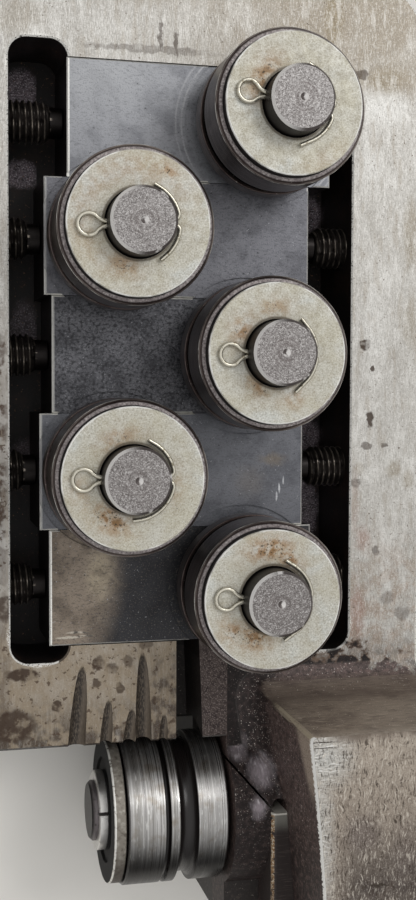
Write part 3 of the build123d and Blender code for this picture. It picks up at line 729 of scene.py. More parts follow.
def cast_iron_bed(colours):
    """Grey cast iron, ground on top: pale brushed plate, dark oily pocket with painted shadow, worn and rusty
    arm.
    """
    material, tree, shader, where = new_finish("cast_iron_bed")
    axes = add(tree, "ShaderNodeSeparateXYZ", {0: where}).node.outputs
    normal = add(tree, "ShaderNodeNewGeometry").node.outputs["True Normal"]
    facing = add(tree, "ShaderNodeSeparateXYZ", {0: normal}).node.outputs
    rough = grain(tree, where, 1.6 * mm, 3.0)
    fine = grain(tree, where, fine_grain, 2.0)
    top = both(tree, within(tree, axes["Z"], 49.8 * mm, 50.2 * mm), rising(tree, facing["Z"], 0.9, 0.97))
    arm_top = rising(tree, axes["Z"], 99.85 * mm, 99.95 * mm)
    brush = grain(tree, where, brush_width, 2.0, (1, 4, 1))
    streaks = grain(tree, warped(tree, where, 5 * mm, 1.6 * mm), 0.5 * mm, 2.0, (1, 8, 1))
    edge_noise = rising(tree, grain(tree, where, 5 * mm, 3.0), 0.3, 0.7, -7 * mm, 7 * mm)
    across = add(tree, "ShaderNodeMath", {0: axes["X"], 1: 0.36, 2: edge_noise}, operation="MULTIPLY_ADD")
    towards_arm = add(tree, "ShaderNodeMath", {0: axes["Y"], 1: across}, operation="ADD")
    # Where the plate stays pale; towards the arm's foot it turns to oil and painted shade
    dry_and_unshaded = either(tree, rising(tree, axes["X"], 14.8 * mm, 14.2 * mm),
                 rising(tree, towards_arm, -88 * mm, -75 * mm))
    cast = layered(tree, colours.cast_iron, [
        (rising(tree, rough, 0.5, 0.75, 0.0, 0.7), "#453d38"),
        (spots(tree, where, 0.7 * mm, 0.06), "#8a827b")])
    colour = layered(tree, cast, bed_coats(tree, where, axes, facing, rough, fine, brush, top, dry_and_unshaded, colours))
    arm_skin = layered(tree, colours.arm_iron, arm_top_coats(tree, where, axes, streaks))
    colour = layered(tree, colour, [(arm_top, arm_skin)])
    bright = either(tree, both(tree, top, dry_and_unshaded), arm_top)
    relief = layered(tree, rough, [(top, brush), (arm_top, streaks)])
    shader.inputs["Specular IOR Level"].default_value = 0.25
    connect(tree, shader, colour, 0.48, rising(tree, bright, 0.0, 1.0, 0.1, 0.6), relief, 0.15 * mm, 0.7)
    return material


class STRAIGHTENER_OT_casting(bpy.types.Operator):
    """Finish the bed casting: brushed plate, oily pocket with painted shadow, worn arm"""
    bl_idname = "straightener.casting"
    bl_label = "Bed casting"

    def execute(self, context):
        dress("bed_casting", cast_iron_bed(context.scene.straightener_colours))
        return {"FINISHED"}


# Each slide: its face, its darker clouds, the share of dark specks and how grainy it is
slide_looks = {1: ("#8b8c90", "#66676c", 0.02, 0.35), 2: ("#6f6f74", "#4c4c51", 0.08, 0.5),
               3: ("#5e5e62", "#2b2b2f", 0.34, 1.0), 4: ("#67686d", "#4c4d52", 0.04, 0.35),
               5: ("#2e2e31", "#1c1b1e", 0.08, 0.6)}


def slide_marks(tree, where, number, low, middle, cloud):
    """What sets one slide apart: haze, scars round a roller painted light as edge highlights, tan patina,
    scratches and gouges.
    """
    wavering = warped(tree, where, 6 * mm, 0.4 * mm)
    if number == 1:
        centre = centre_of("roller_pin_1")[0]
        radius = away_from(tree, wavering, centre[0], centre[1])
        # The scars are real; they are painted light along their edge as a highlight
        scars = either(tree, within(tree, radius, 27.0 * mm, 27.5 * mm, 0.3 * mm),
                       within(tree, radius, 29.0 * mm, 29.3 * mm, 0.4 * mm))
        haze = patches(tree, where, on_plate([(-30, 94, 40, 30, 0.6)]), 1.0)
        return [(haze, "#a6a7a9"),
                (both(tree, scars, rising(tree, cloud, 0.35, 0.6, 0.1, 0.7)), "#b0b0b2")]
    if number == 4:
        tan = patches(tree, where, on_plate([(30, -34.5, 7, 2.6, 0.8), (22, -42, 8, 8, 0.3)]), 0.9, 2 * mm)
        lines = on_plate([(31.3, -47, 0.4, 2, 0.8), (32.3, -44.2, 0.4, 2.2, 0.9),
                          (33.8, -41.6, 0.35, 1.8, 0.7)])
        scratch = patches(tree, wavering, lines, 0.5, 0.2 * mm)
        return [(tan, "#6f665c"), (scratch, "#c4c5c8")]
    if number == 5:
        left, across = low[0] / mm, middle[1] / mm
        patina = patches(tree, where, [(left - 6, across + 6, 50, 33, 46, 20, 1.0)], 0.35, 1.2 * mm)
        border = patches(tree, where, [(left + 17, across + 4, 50, 7, 12, 20, 0.8)], 0.8, 1.5 * mm)
        gouges = patches(tree, wavering, [
            (-39, -91.9, 50, 5, 0.5, 3, 0.95), (-36, -90.4, 50, 4.4, 0.4, 3, 0.8),
            (-33, -91.4, 50, 3, 0.3, 3, 0.7)], 0.4, 0.2 * mm)
        return [(patina, "#83776a"), (both(tree, patina, border), "#aa9e88"),
                (both(tree, patina, rising(tree, cloud, 0.42, 0.66, 0.0, 0.7)), "#574d43"),
                (both(tree, gouges, 0.6), "#cfc8ba"),
                (both(tree, gouges, rising(tree, cloud, 0.46, 0.5)), "#231e1a")]
    return []


def slide_steel(colours, number):
    """Ground tool steel with dark oil worked into its grain and bright worn edges."""
    middle, low, high = centre_of(f"slide_{number}")
    material, tree, shader, where = new_finish(f"slide_steel_{number}")
    axes = add(tree, "ShaderNodeSeparateXYZ", {0: where}).node.outputs
    base, shade, share, contrast = slide_looks[number]
    cloud = grain(tree, where, 8 * mm, 4.0)
    fine = grain(tree, where, fine_grain, 2.0)
    flow = grain(tree, warped(tree, where, 5 * mm, 1.0 * mm), 0.6 * mm, 2.0, (2.5, 1, 1))
    top = rising(tree, axes["Z"], high[2] - 1.0 * mm, high[2] - 0.9 * mm)
    coats = [(cloud, 0.42, 0.68, 0.7, shade)]
    coats += slide_marks(tree, where, number, low, middle, cloud)
    coats += [(rising(tree, fine, 0.54, 0.72, 0.0, 0.6 * contrast), "#8c8c90" if number < 5 else "#827a70"),
              (fine, 0.46, 0.3, contrast, "#26262a"),
              (flow, 0.5, 0.3, 0.7 * contrast, "#29292c"),
              (both(tree, spots(tree, where, 1.0 * mm, share), 0.8), "#232326"),
              (spots(tree, where, 0.6 * mm, 0.015), "#9b9b9f")]
    face = layered(tree, base, coats)
    left_edge = both(tree, rising(tree, axes["X"], low[0] + 0.9 * mm, low[0] + 0.75 * mm),
                     rising(tree, fine, 0.3, 0.45, 0.4, 1.0 if number in (1, 5) else 0.3))
    right_edge = both(tree, rising(tree, axes["X"], high[0] - 0.5 * mm, high[0] - 0.4 * mm),
                      rising(tree, fine, 0.4, 0.5, 0.1, 0.6))
    rubbed = both(tree, broken_edges(tree), rising(tree, cloud, 0.3, 0.5, 0.3, 0.9))
    worn = either(tree, rubbed, left_edge, right_edge)
    colour = layered(tree, colours.oil_black_and_shade, [(top, face), (both(tree, worn, top), colours.bright_steel)])
    connect(tree, shader, colour, rising(tree, fine, 0.3, 0.7, 0.36, 0.5), 0.6, fine, 0.08 * mm, 0.6)
    return material


class STRAIGHTENER_OT_slides(bpy.types.Operator):
    """Finish the five slides as slate grey ground steel"""
    bl_idname = "straightener.slides"
    bl_label = "Slides"

    def execute(self, context):
        for number in numbers:
            dress(f"slide_{number}", slide_steel(context.scene.straightener_colours, number))
        return {"FINISHED"}


pin_dullness = {1: 0.0, 2: 0.05, 3: 0.15, 4: 0.25, 5: 0.4}


def faced_steel(colours, number):
    """Turned steel bar with a faced end: faint rings round a centre mark, oily sides painted near black as
    shade, a painted highlight on the lip.
    """
    middle, _, high = centre_of(f"roller_pin_{number}")
    material, tree, shader, where = new_finish(f"faced_steel_{number}")
    axes = add(tree, "ShaderNodeSeparateXYZ", {0: where}).node.outputs
    normal = add(tree, "ShaderNodeNewGeometry").node.outputs["True Normal"]
    facing = add(tree, "ShaderNodeSeparateXYZ", {0: normal}).node.outputs
    radius = away_from(tree, warped(tree, where, 3 * mm, 0.12 * mm), middle[0], middle[1])
    rings = add(tree, "ShaderNodeTexNoise", {"W": radius, "Scale": 1 / (0.8 * mm), "Detail": 2.0},
                noise_dimensions="1D")
    end = rising(tree, axes["Z"], high[2] - 0.95 * mm, high[2] - 0.75 * mm)
    fine = grain(tree, where, brush_width, 1.0)
    cloud = grain(tree, where, 4 * mm, 3.0)
    middle_rings = rising(tree, radius, 5.2 * mm, 2.6 * mm)
    ring_line = either(tree, within(tree, radius, 3.9 * mm, 4.3 * mm, 0.25 * mm),
                       within(tree, radius, 2.2 * mm, 2.6 * mm, 0.25 * mm))
    face = layered(tree, colours.pin_steel, [
        (pin_dullness[number], "#5f5754"),
        (cloud, 0.42, 0.66, 0.35, "#6c6664"),
        (fine, 0.52, 0.7, 0.8, "#bfbcba"),
        (fine, 0.48, 0.3, 0.85, "#4a4543"),
        (rings, 0.52, 0.7, 0.2, "#5d5755"),
        (rings, 0.48, 0.3, 0.15, "#b5b1af"),
        (both(tree, middle_rings, rising(tree, rings, 0.5, 0.34, 0.0, 0.6)), "#5a5250"),
        (both(tree, middle_rings, rising(tree, rings, 0.52, 0.7, 0.0, 0.7)), "#b9b4b1"),
        (both(tree, ring_line, rising(tree, cloud, 0.42, 0.6, 0.0, 0.6)), "#5f5755")])
    lip = both(tree, broken_edges(tree), end)
    # Painted highlight on the lip, mostly on its side facing -X
    painted_lip_highlight = both(tree, lip, either(tree, rising(tree, facing["X"], 0.1, -0.35), rising(tree, cloud, 0.6, 0.7)))
    # The sides take oil black, painted near black as shade
    colour = layered(tree, colours.oil_black_and_shade, [
        (fine, 0.55, 0.8, 0.3, "#3b3331"), (end, face),
        (lip, "#57504e"), (painted_lip_highlight, "#dddad7")])
    relief = add(tree, "ShaderNodeMath", {0: both(tree, rings, 0.4), 1: fine}, operation="ADD")
    connect(tree, shader, colour, rising(tree, end, 0.0, 1.0, 0.45, 0.48), 0.6, relief, 0.08 * mm, 0.5)
    return material


class STRAIGHTENER_OT_pins(bpy.types.Operator):
    """Finish the five roller pins with faced ends, and oily sides painted dark as shade"""
    bl_idname = "straightener.pins"
    bl_label = "Roller pins"

    def execute(self, context):
        for number in numbers:
            dress(f"roller_pin_{number}", faced_steel(context.scene.straightener_colours, number))
        return {"FINISHED"}


def hardened_steel(colours, number):
    """Hardened steel roller: near black polished side, gritty grey violet rim, fine bright edges."""
    _, low, high = centre_of(f"roller_{number}")
    height = high[2] - low[2]
    outer = (high[0] - low[0]) / 2
    material, tree, shader, where = new_finish(f"hardened_steel_{number}")
    profile, axes = turned_place(tree)
    top = rising(tree, axes["Y"], height - 0.35 * mm, height - 0.2 * mm)
    streaks = grain(tree, profile, 0.5 * mm, 3.0)
    grit = grain(tree, where, 0.6 * mm, 3.0)
    cloud = grain(tree, where, 6 * mm, 4.0)
    side = layered(tree, colours.roller_side, [
        (streaks, 0.5, 0.7, 0.9, "#a59a95"),
        (streaks, 0.48, 0.34, 0.7, "#241c1a"),
        (cloud, 0.45, 0.7, 0.7, "#362a28"),
        (axes["X"], outer - 0.5 * mm, outer - 1.2 * mm, 1.0, colours.oil_black_and_shade),
        (spots(tree, where, 0.7 * mm, 0.03), "#8d8580")])
    rim = layered(tree, colours.roller_rim, [
        (grit, 0.5, 0.68, 0.7, "#bab3b0"),
        (grit, 0.48, 0.32, 0.8, "#4d4545"),
        (cloud, 0.5, 0.7, 0.5, "#5f5556"),
        # Painted shade: a dark ring on the rim round the foot of the washer
        (axes["X"], 22.1 * mm, 21.9 * mm, 1.0, colours.oil_black_and_shade)])
    edge = both(tree, within(tree, axes["Y"], height - 1.3 * mm, height - 1.05 * mm, 0.06 * mm),
                rising(tree, cloud, 0.4, 0.6, 0.15, 0.9))
    colour = layered(tree, side, [(top, rim), (edge, colours.bright_steel)])
    connect(tree, shader, colour, rising(tree, top, 0.0, 1.0, 0.28, 0.5),
            rising(tree, top, 0.0, 1.0, 0.85, 0.5), grit, 0.12 * mm, 0.5)
    return material


def roller_profile(sizes, radius, height):
    """Section of a straightening roller: bore, faces, broken edges and a groove with a rounded root."""
    bore = sizes.bore_radius
    chamfer = sizes.rim_chamfer
    low = sizes.groove_height - sizes.groove_width / 2
    high = sizes.groove_height + sizes.groove_width / 2
    root = radius - sizes.groove_depth
    curve = 0.45 * sizes.groove_width
    edge = 0.25 * mm
    corners = [(bore, 0, 0), (radius - chamfer, 0, edge), (radius, chamfer, edge), (radius, low, edge),
               (root, low, curve), (root, high, curve), (radius, high, edge),
               (radius, height - chamfer, edge), (radius - chamfer, height, edge), (bore, height, 0)]
    return refined(rounded_profile(corners), 1.2 * mm)


class STRAIGHTENER_OT_rollers(bpy.types.Operator):
    """Make the five grooved straightening rollers as turned surfaces with worn rims"""
    bl_idname = "straightener.rollers"
    bl_label = "Straightening rollers"

    def execute(self, context):
        sizes = context.scene.straightener_sizes
        for number in numbers:
            middle, low, high = centre_of(f"roller_{number}")
            radius = (high[0] - low[0]) / 2
            height = high[2] - low[2]
            profile = roller_profile(sizes, radius, height)

            def worn(angle, r, h, seed=number):
                rim = np.exp(-((r - radius) ** 2 + (h - height) ** 2) / (1.2 * mm) ** 2)
                return -0.06 * mm * rim * (1 + ripple(angle, seed, 9)) / 2

            points, attribute = turned(profile, (middle[0], middle[1], low[2]), "Z", roller_columns, worn)
            finish = hardened_steel(context.scene.straightener_colours, number)
            surface(f"grooved_roller_{number}", points, finish, f"roller_{number}",
                    f"roller_{number}", {"turned": attribute})
        return {"FINISHED"}


# Stains on each washer: direction and spread in degrees, middle radius and spread in mm, strength
washer_stains = {
    1: [(135, 30, 13, 4, 0.7), (165, 22, 12, 3, 0.5), (300, 25, 19, 3, 0.25)],
    2: [(250, 22, 13, 3, 0.7), (80, 60, 16, 5, 0.35), (180, 60, 17, 4, 0.3), (60, 8, 18, 2, 0.5)],
    3: [(150, 20, 13, 4, 0.8), (95, 22, 14, 3, 0.6), (240, 25, 12, 3, 0.75), (290, 15, 15, 3, 0.5)],
    4: [(240, 26, 14, 4, 1.0), (110, 30, 13, 3, 0.6), (190, 14, 17, 3, 0.4), (350, 25, 13, 3, 0.35)],
    5: [(95, 26, 16, 4, 1.0), (65, 20, 13, 3, 0.7), (245, 24, 13, 4, 0.9), (215, 16, 16, 4, 0.6)]}


def stain_strength(angle, radius, number):
    """How stained a washer is at an angle and radius: a sum of bell curves, one for each stain."""
    total = np.zeros(np.broadcast(angle, radius).shape)
    for direction, spread, middle, reach, strength in washer_stains[number]:
        turn = np.abs((np.degrees(angle) - direction + 180) % 360 - 180)
        total = total + strength * np.exp(-(turn / spread) ** 2 - ((radius / mm - middle) / reach) ** 2)
    return total


def machined_washer(colours, number):
    """Pale machined steel washer dulled by old oil: mottled, stained round its bore, with a painted highlight
    at its rim.
    """
    material, tree, shader, where = new_finish(f"machined_washer_{number}")
    axes = turned_place(tree)[1]
    mottle = grain(tree, where, 2.6 * mm, 5.0)
    cloud = grain(tree, where, 9 * mm, 2.0)
    fine = grain(tree, where, fine_grain, 2.0)
    top = rising(tree, axes["Y"], 2.6 * mm, 2.75 * mm)
    stain = both(tree, axes["Z"], rising(tree, mottle, 0.36, 0.6, 0.3, 1.0))
    specks = either(tree, both(tree, spots(tree, where, 0.5 * mm, 0.1), rising(tree, cloud, 0.4, 0.55)),
                    both(tree, spots(tree, where, 0.75 * mm, 0.25), rising(tree, axes["Z"], 0.2, 0.8)))
    # Painted highlight along the rim's upper edge
    painted_rim_highlight = both(tree, rising(tree, axes["X"], 21.25 * mm, 21.4 * mm),
                    rising(tree, axes["Y"], 2.1 * mm, 2.3 * mm),
                    rising(tree, cloud, 0.62, 0.42, 0.1, 1.0))
    face = layered(tree, colours.washer_steel, [
        (cloud, 0.45, 0.65, 0.45, "#b0aa94"),
        (cloud, 0.45, 0.3, 0.5, "#bfc3c1"),
        (mottle, 0.48, 0.68, 0.3, "#a29984"),
        (mottle, 0.45, 0.28, 0.25, "#cccdc7"),
        (fine, 0.52, 0.68, 0.55, "#dddbd2"),
        (fine, 0.48, 0.32, 0.6, "#8c8474"),
        (both(tree, stain, 0.9), colours.oil_stain),
        (stain, 0.55, 0.95, 0.7, "#7a5a34"),
        (both(tree, specks, 0.85), "#3d3528"),
        (axes["X"], 11.6 * mm, 10.9 * mm, 0.8, "#4b4132")])
    colour = layered(tree, colours.oil_black_and_shade, [(top, face), (painted_rim_highlight, "#f6f5f0")])
    connect(tree, shader, colour, rising(tree, mottle, 0.3, 0.7, 0.45, 0.6), 0.35, fine, 0.08 * mm, 0.5)
    return material


class STRAIGHTENER_OT_washers(bpy.types.Operator):
    """Make the five thick washers as turned surfaces with slightly uneven edges"""
    bl_idname = "straightener.washers"
    bl_label = "Washers"

    def execute(self, context):
        sizes = context.scene.straightener_sizes
        for number in numbers:
            middle, low, high = centre_of(f"washer_{number}")
            radius = (high[0] - low[0]) / 2
            height = high[2] - low[2]
            edge = sizes.edge_chamfer
            bore = sizes.washer_bore
            corners = [(bore, 0, 0), (radius - edge, 0, 0), (radius, edge, 0), (radius, height - edge, 0),
                       (radius - edge, height, 0), (bore, height, 0)]
            profile = refined(rounded_profile(corners), 0.8 * mm)

            def worn(angle, r, h, seed=10 + number):
                rim = np.exp(-((r - radius) / (1.0 * mm)) ** 2)
                return -0.04 * mm * rim * (1 + ripple(angle, seed, 7)) / 2

            points, attribute = turned(profile, (middle[0], middle[1], low[2]), "Z", roller_columns, worn)
            angle = np.arange(roller_columns)[None, :] * 2 * math.pi / roller_columns
            attribute[..., 2] = stain_strength(angle, attribute[..., 0], number)
            finish = machined_washer(context.scene.straightener_colours, number)
            surface(f"plain_washer_{number}", points, finish, f"slide_{number}",
                    f"washer_{number}", {"turned": attribute})
        return {"FINISHED"}


def plated_wire(colours):
    """Zinc plated steel wire gone cream white, with dirt in its bends."""
    material, tree, shader, where = new_finish("plated_wire")
    colour = layered(tree, colours.plated_wire, [
        (spots(tree, where, 1.2 * mm, 0.25), "#8f8775"),
        (spots(tree, where, 0.5 * mm, 0.08), "#4c4439")])
    connect(tree, shader, colour, 0.3, 0.85, grain(tree, where, 0.5 * mm), 0.03 * mm, 0.5)
    return material


class STRAIGHTENER_OT_split_pins(bpy.types.Operator):
    """Finish the five split pins as plated wire"""
    bl_idname = "straightener.split_pins"
    bl_label = "Split pins"

    def execute(self, context):
        wire = plated_wire(context.scene.straightener_colours)
        for number in numbers:
            dress(f"split_pin_{number}", wire)
        return {"FINISHED"}


def oily_screw_steel(colours):
    """Black oiled screw steel, the crests of the thread painted bright as highlights and the dog point
    painted near black as shade.
    """
    material, tree, shader, where = new_finish("oily_screw_steel")
    axes = turned_place(tree)[1]
    # Painted highlights on the crests of the thread
    rubbed = both(tree, rising(tree, axes["Z"], 0.75, 0.95),
                  rising(tree, grain(tree, where, 3 * mm), 0.35, 0.6))
    colour = layered(tree, colours.screw_steel, [
        (rising(tree, grain(tree, where, 2 * mm, 4.0), 0.5, 0.7), colours.oil_black_and_shade),
        # Painted shade: the dog point is darkened to near black
        (axes["Y"], 5.2 * mm, 4.6 * mm, 0.9, "#120e0d"),
        (rubbed, "#8b8278")])
    connect(tree, shader, colour, 0.35, 0.8, grain(tree, where, 0.6 * mm), 0.05 * mm, 0.5)
    return material


def screw_points(sizes, length, tip_x, place_y, place_z, side, corner_angle):
    """Surface of a screw from the pole of its dog point to the pole of its hexagon head.

    The radius at angle t and distance s from the tip is the plain radius there, less the thread depth
    times a triangle wave of s / pitch - t / (2 pi) along the threaded run; in the head it is the smaller
    of the hexagon, flats / 2 / cos(angle from the nearest flat), and a cone that turns off the corners.
    """
    columns = 48
    angle = np.arange(columns) * 2 * math.pi / columns
    head_start = length - sizes.head_height
    run = np.arange(sizes.dog_length, head_start, sizes.thread_pitch / 10)
    along = [0, 0, 0.6 * mm, sizes.dog_length, *run, head_start, head_start,
             head_start + 0.1 * mm, length - 1.4 * mm, length - 0.7 * mm, length, length]
    shank = sizes.shank_radius
    corner = sizes.head_flats / 2 / math.cos(math.pi / 6)
    plain = [0, sizes.dog_radius - 0.6 * mm, sizes.dog_radius, sizes.dog_radius, *np.full(len(run), shank),
             shank, corner, corner, corner, (corner + sizes.head_flats / 2) / 2, sizes.head_flats / 2, 0]
    threaded = [0, 0, 0, 0, *np.ones(len(run)), 0, 0, 0, 0, 0, 0, 0]
    s = np.array(along)[:, None]
    base = np.array(plain)[:, None]
    thread = np.array(threaded)[:, None]
    turns = s / sizes.thread_pitch - angle[None, :] / (2 * math.pi)
    valley = np.abs(2 * (turns - np.floor(turns)) - 1)
    valley = np.clip(1.15 * valley - 0.1, 0, 1)
    from_flat = np.mod(angle + corner_angle, math.pi / 3) - math.pi / 6
    hexagon = sizes.head_flats / 2 / np.cos(from_flat)[None, :]
    radius = base - thread * sizes.thread_depth * valley
    radius = np.where(s >= head_start, np.where(base > shank, np.minimum(base, hexagon), radius), radius)
    radius = np.where(thread > 0, np.minimum(radius, sizes.dog_radius + (s - sizes.dog_length)), radius)
    x = tip_x + side * s + 0 * angle
    points = np.stack([x, place_y + radius * np.cos(angle), place_z + side * radius * np.sin(angle)], axis=-1)
    crest = np.broadcast_to(thread * (1 - valley), radius.shape)
    return points, np.stack([radius, np.broadcast_to(s, radius.shape), crest], axis=-1)


class STRAIGHTENER_OT_screws(bpy.types.Operator):
    """Make the ten adjusting screws with their threads, dog points and hexagon heads"""
    bl_idname = "straightener.screws"
    bl_label = "Adjusting screws"

    def execute(self, context):
        sizes = context.scene.straightener_sizes
        steel = oily_screw_steel(context.scene.straightener_colours)
        for number in numbers:
            for word, side in (("left", -1), ("right", 1)):
                middle, low, high = centre_of(f"{word}_screw_{number}")
                tip_x = high[0] if side < 0 else low[0]
                corner_angle = 0.0 if high[1] - low[1] > sizes.head_flats * 1.05 else math.pi / 6
                points, attribute = screw_points(sizes, high[0] - low[0], tip_x, middle[1], middle[2], side,
                                                 corner_angle)
                surface(f"set_screw_{word}_{number}", points, steel, f"slide_{number}",
                        f"{word}_screw_{number}", {"turned": attribute})
        return {"FINISHED"}


def oily_nut_steel(colours):
    """Black oiled nuts with spots of rust."""
    material, tree, shader, where = new_finish("oily_nut_steel")
    colour = layered(tree, colours.screw_steel, [
        (rising(tree, grain(tree, where, 3 * mm, 4.0), 0.45, 0.7), colours.oil_black_and_shade),
        (spots(tree, where, 1.5 * mm, 0.1), colours.rust)])
    connect(tree, shader, colour, 0.4, 0.8, grain(tree, where, 0.6 * mm), 0.05 * mm, 0.5)
    return material


class STRAIGHTENER_OT_lock_nuts(bpy.types.Operator):
    """Finish the lock nuts on both sides of the bed"""
    bl_idname = "straightener.lock_nuts"
    bl_label = "Lock nuts"

    def execute(self, context):
        steel = oily_nut_steel(context.scene.straightener_colours)
        dress("left_lock_nuts", steel)
        dress("right_lock_nuts", steel)
        return {"FINISHED"}


def turned_steel(colours):
    """Bright turned steel guide roller: lathe marks round it, oil black grooves, worn bright edges."""
    _, low, high = centre_of("guide_roller")
    outer = (high[2] - low[2]) / 2
    material, tree, shader, where = new_finish("turned_steel")
    profile, axes = turned_place(tree)
    along = add(tree, "ShaderNodeSeparateXYZ", {0: where}).node.outputs
    marks = grain(tree, profile, 0.45 * mm, 3.0)
    bands = grain(tree, profile, 2.4 * mm, 2.0)
    blotch = grain(tree, where, 5 * mm, 4.0)
    dashes = grain(tree, where, 0.6 * mm, 2.0, (1, 6, 6))
    in_groove = rising(tree, axes["X"], outer - 0.15 * mm, outer - 0.6 * mm)
    face = layered(tree, colours.turned_steel, [
        (bands, 0.4, 0.65, 0.5, "#8a8782"),
        (marks, 0.52, 0.7, 0.7, "#e9e8e5"),
        (marks, 0.48, 0.32, 0.7, "#5f5c58"),
        (dashes, 0.56, 0.72, 0.5, "#e4e3e0"),
        (blotch, 0.52, 0.72, 0.55, "#7d7263")])
    # Painted shade: the side turned away from the bed is darkened to near black
    painted_low_side_shade = rising(tree, along["Y"], -150 * mm, -169 * mm, 0.0, 0.93)
    face = layered(tree, face, [(painted_low_side_shade, "#171514")])
    left_of_feed = rising(tree, axes["Y"], 16.9 * mm, 17.05 * mm)
    edge = both(tree, left_of_feed, rising(tree, axes["Y"], 17.35 * mm, 17.2 * mm), in_groove)
    colour = layered(tree, face, [(in_groove, colours.oil_black_and_shade),
                                  (both(tree, edge, 0.5), colours.bright_steel)])
    connect(tree, shader, colour, rising(tree, marks, 0.3, 0.7, 0.24, 0.38),
            rising(tree, in_groove, 0.0, 1.0, 0.95, 0.3), marks, 0.06 * mm, 0.6)
    return material


def pitted_steel(colours):
    """Rough thrust washer: grey brown rim, browner and darker towards its low side, faces painted near black
    as shade, one bright edge.
    """
    material, tree, shader, where = new_finish("pitted_steel")
    axes = turned_place(tree)[1]
    along = add(tree, "ShaderNodeSeparateXYZ", {0: where}).node.outputs
    pits = grain(tree, where, 1.4 * mm, 3.0)
    rim = rising(tree, axes["X"], 23.8 * mm, 24.0 * mm)
    edge = both(tree, rim, rising(tree, axes["Y"], 0.8 * mm, 0.5 * mm), rising(tree, pits, 0.36, 0.46))
    skin = layered(tree, "#7f7970", [
        (pits, 0.5, 0.7, 0.6, "#a9a59c"),
        (pits, 0.46, 0.3, 0.7, "#4b433b"),
        # Darker and browner towards the low side
        (along["Y"], -160 * mm, -172 * mm, 0.8, "#352b25")])
    # The faces are painted near black as shade
    face = layered(tree, "#0b0908", [(pits, 0.55, 0.75, 0.5, "#1c1815")])
    colour = layered(tree, face, [(rim, skin), (edge, colours.bright_steel)])
    connect(tree, shader, colour, rising(tree, rim, 0.0, 1.0, 0.85, 0.5), both(tree, rim, 0.6), pits,
            0.12 * mm, 0.6)
    return material


def ring_steel():
    """Spring steel ring, rubbed bright on its rim."""
    material, tree, shader, where = new_finish("ring_steel")
    worn = grain(tree, where, 2.2 * mm, 4.0)
    colour = layered(tree, "#dedcd8", [
        (worn, 0.55, 0.75, 0.7, "#6a645e"),
        (rising(tree, grain(tree, where, 0.5 * mm), 0.55, 0.7, 0.0, 0.6), "#f1efeb")])
    connect(tree, shader, colour, 0.3, 0.9, worn, 0.05 * mm, 0.5)
    return material


def shaft_steel():
    """Dull shaft steel: lilac grey side, black oily end."""
    material, tree, shader, where = new_finish("shaft_steel")
    axes = turned_place(tree)[1]
    worn = grain(tree, where, 1.5 * mm, 4.0)
    side = layered(tree, "#6a6465", [(worn, 0.5, 0.7, 1.0, "#3b3534")])
    end = layered(tree, "#1d1a19", [(worn, 0.5, 0.7, 1.0, "#3d3836")])
    colour = layered(tree, end, [(axes["Y"], 0.2 * mm, 0.9 * mm, 1.0, side)])
    connect(tree, shader, colour, 0.4, 0.6, worn, 0.08 * mm, 0.5)
    return material


# Grooves of the guide roller, measured from its left face: left side, right side, depth; oil, then feed
guide_grooves = [(12.3 * mm, 14.1 * mm, 2.4 * mm), (17.1 * mm, 23.3 * mm, 3.0 * mm)]
# Recess in the left face of the thrust washer: inner radius, outer radius, depth
recess = (13.2 * mm, 17.5 * mm, 1 * mm)
# Groove for the snap ring: its two sides from the shaft's left end, and its depth; then the ring itself
ring_groove = (2.0 * mm, 5.1 * mm)
ring_groove_depth = 1 * mm
ring_bore = 9.05 * mm
ring_gap = 1.2 * mm
ring_gap_angle = math.radians(78)


def guide_profile(radius, length, bore, grooves, edge):
    """Section of the guide roller: bore, faces, broken edges, and grooves given as left, right and depth."""
    corners = [(bore, 0, 0), (radius - edge, 0, 0), (radius, edge, 0)]
    for left, right, depth in grooves:
        curve = min(0.45 * (right - left), 0.9 * depth)
        corners += [(radius, left, 0.1 * mm), (radius - depth, left, curve),
                    (radius - depth, right, curve), (radius, right, 0.1 * mm)]
    corners += [(radius, length - edge, 0), (radius - edge, length, 0), (bore, length, 0)]
    return refined(rounded_profile(corners), 0.6 * mm)


def snap_ring_points(low, high, middle, bore, edge, gap, gap_angle):
    """A square section carried round from one side of the gap to the other, its ends closed by flat caps.

    Row i is a corner of the section and column j an angle; the first and last columns repeat with the
    section shrunk to its middle, which closes the ends.
    """
    radius = (high[2] - low[2]) / 2
    width = high[0] - low[0]
    corners = np.array([(bore, 0), (radius - edge, 0), (radius, edge), (radius, width - edge),
                        (radius - edge, width), (bore, width)])
    section = refined(corners, 0.8 * mm)
    centre = section.mean(axis=0)
    half_gap = gap / 2 / radius
    angle = np.linspace(gap_angle + half_gap, gap_angle + 2 * math.pi - half_gap, 120)
    angle = np.concatenate([angle[:1], angle, angle[-1:]])
    shrink = np.ones(len(angle))
    shrink[0] = shrink[-1] = 0
    ring = centre + (section - centre)[:, None, :] * shrink[None, :, None]
    across = ring[..., 0]
    x = low[0] + ring[..., 1]
    return np.stack([x, middle[1] + across * np.cos(angle), middle[2] + across * np.sin(angle)], axis=-1)


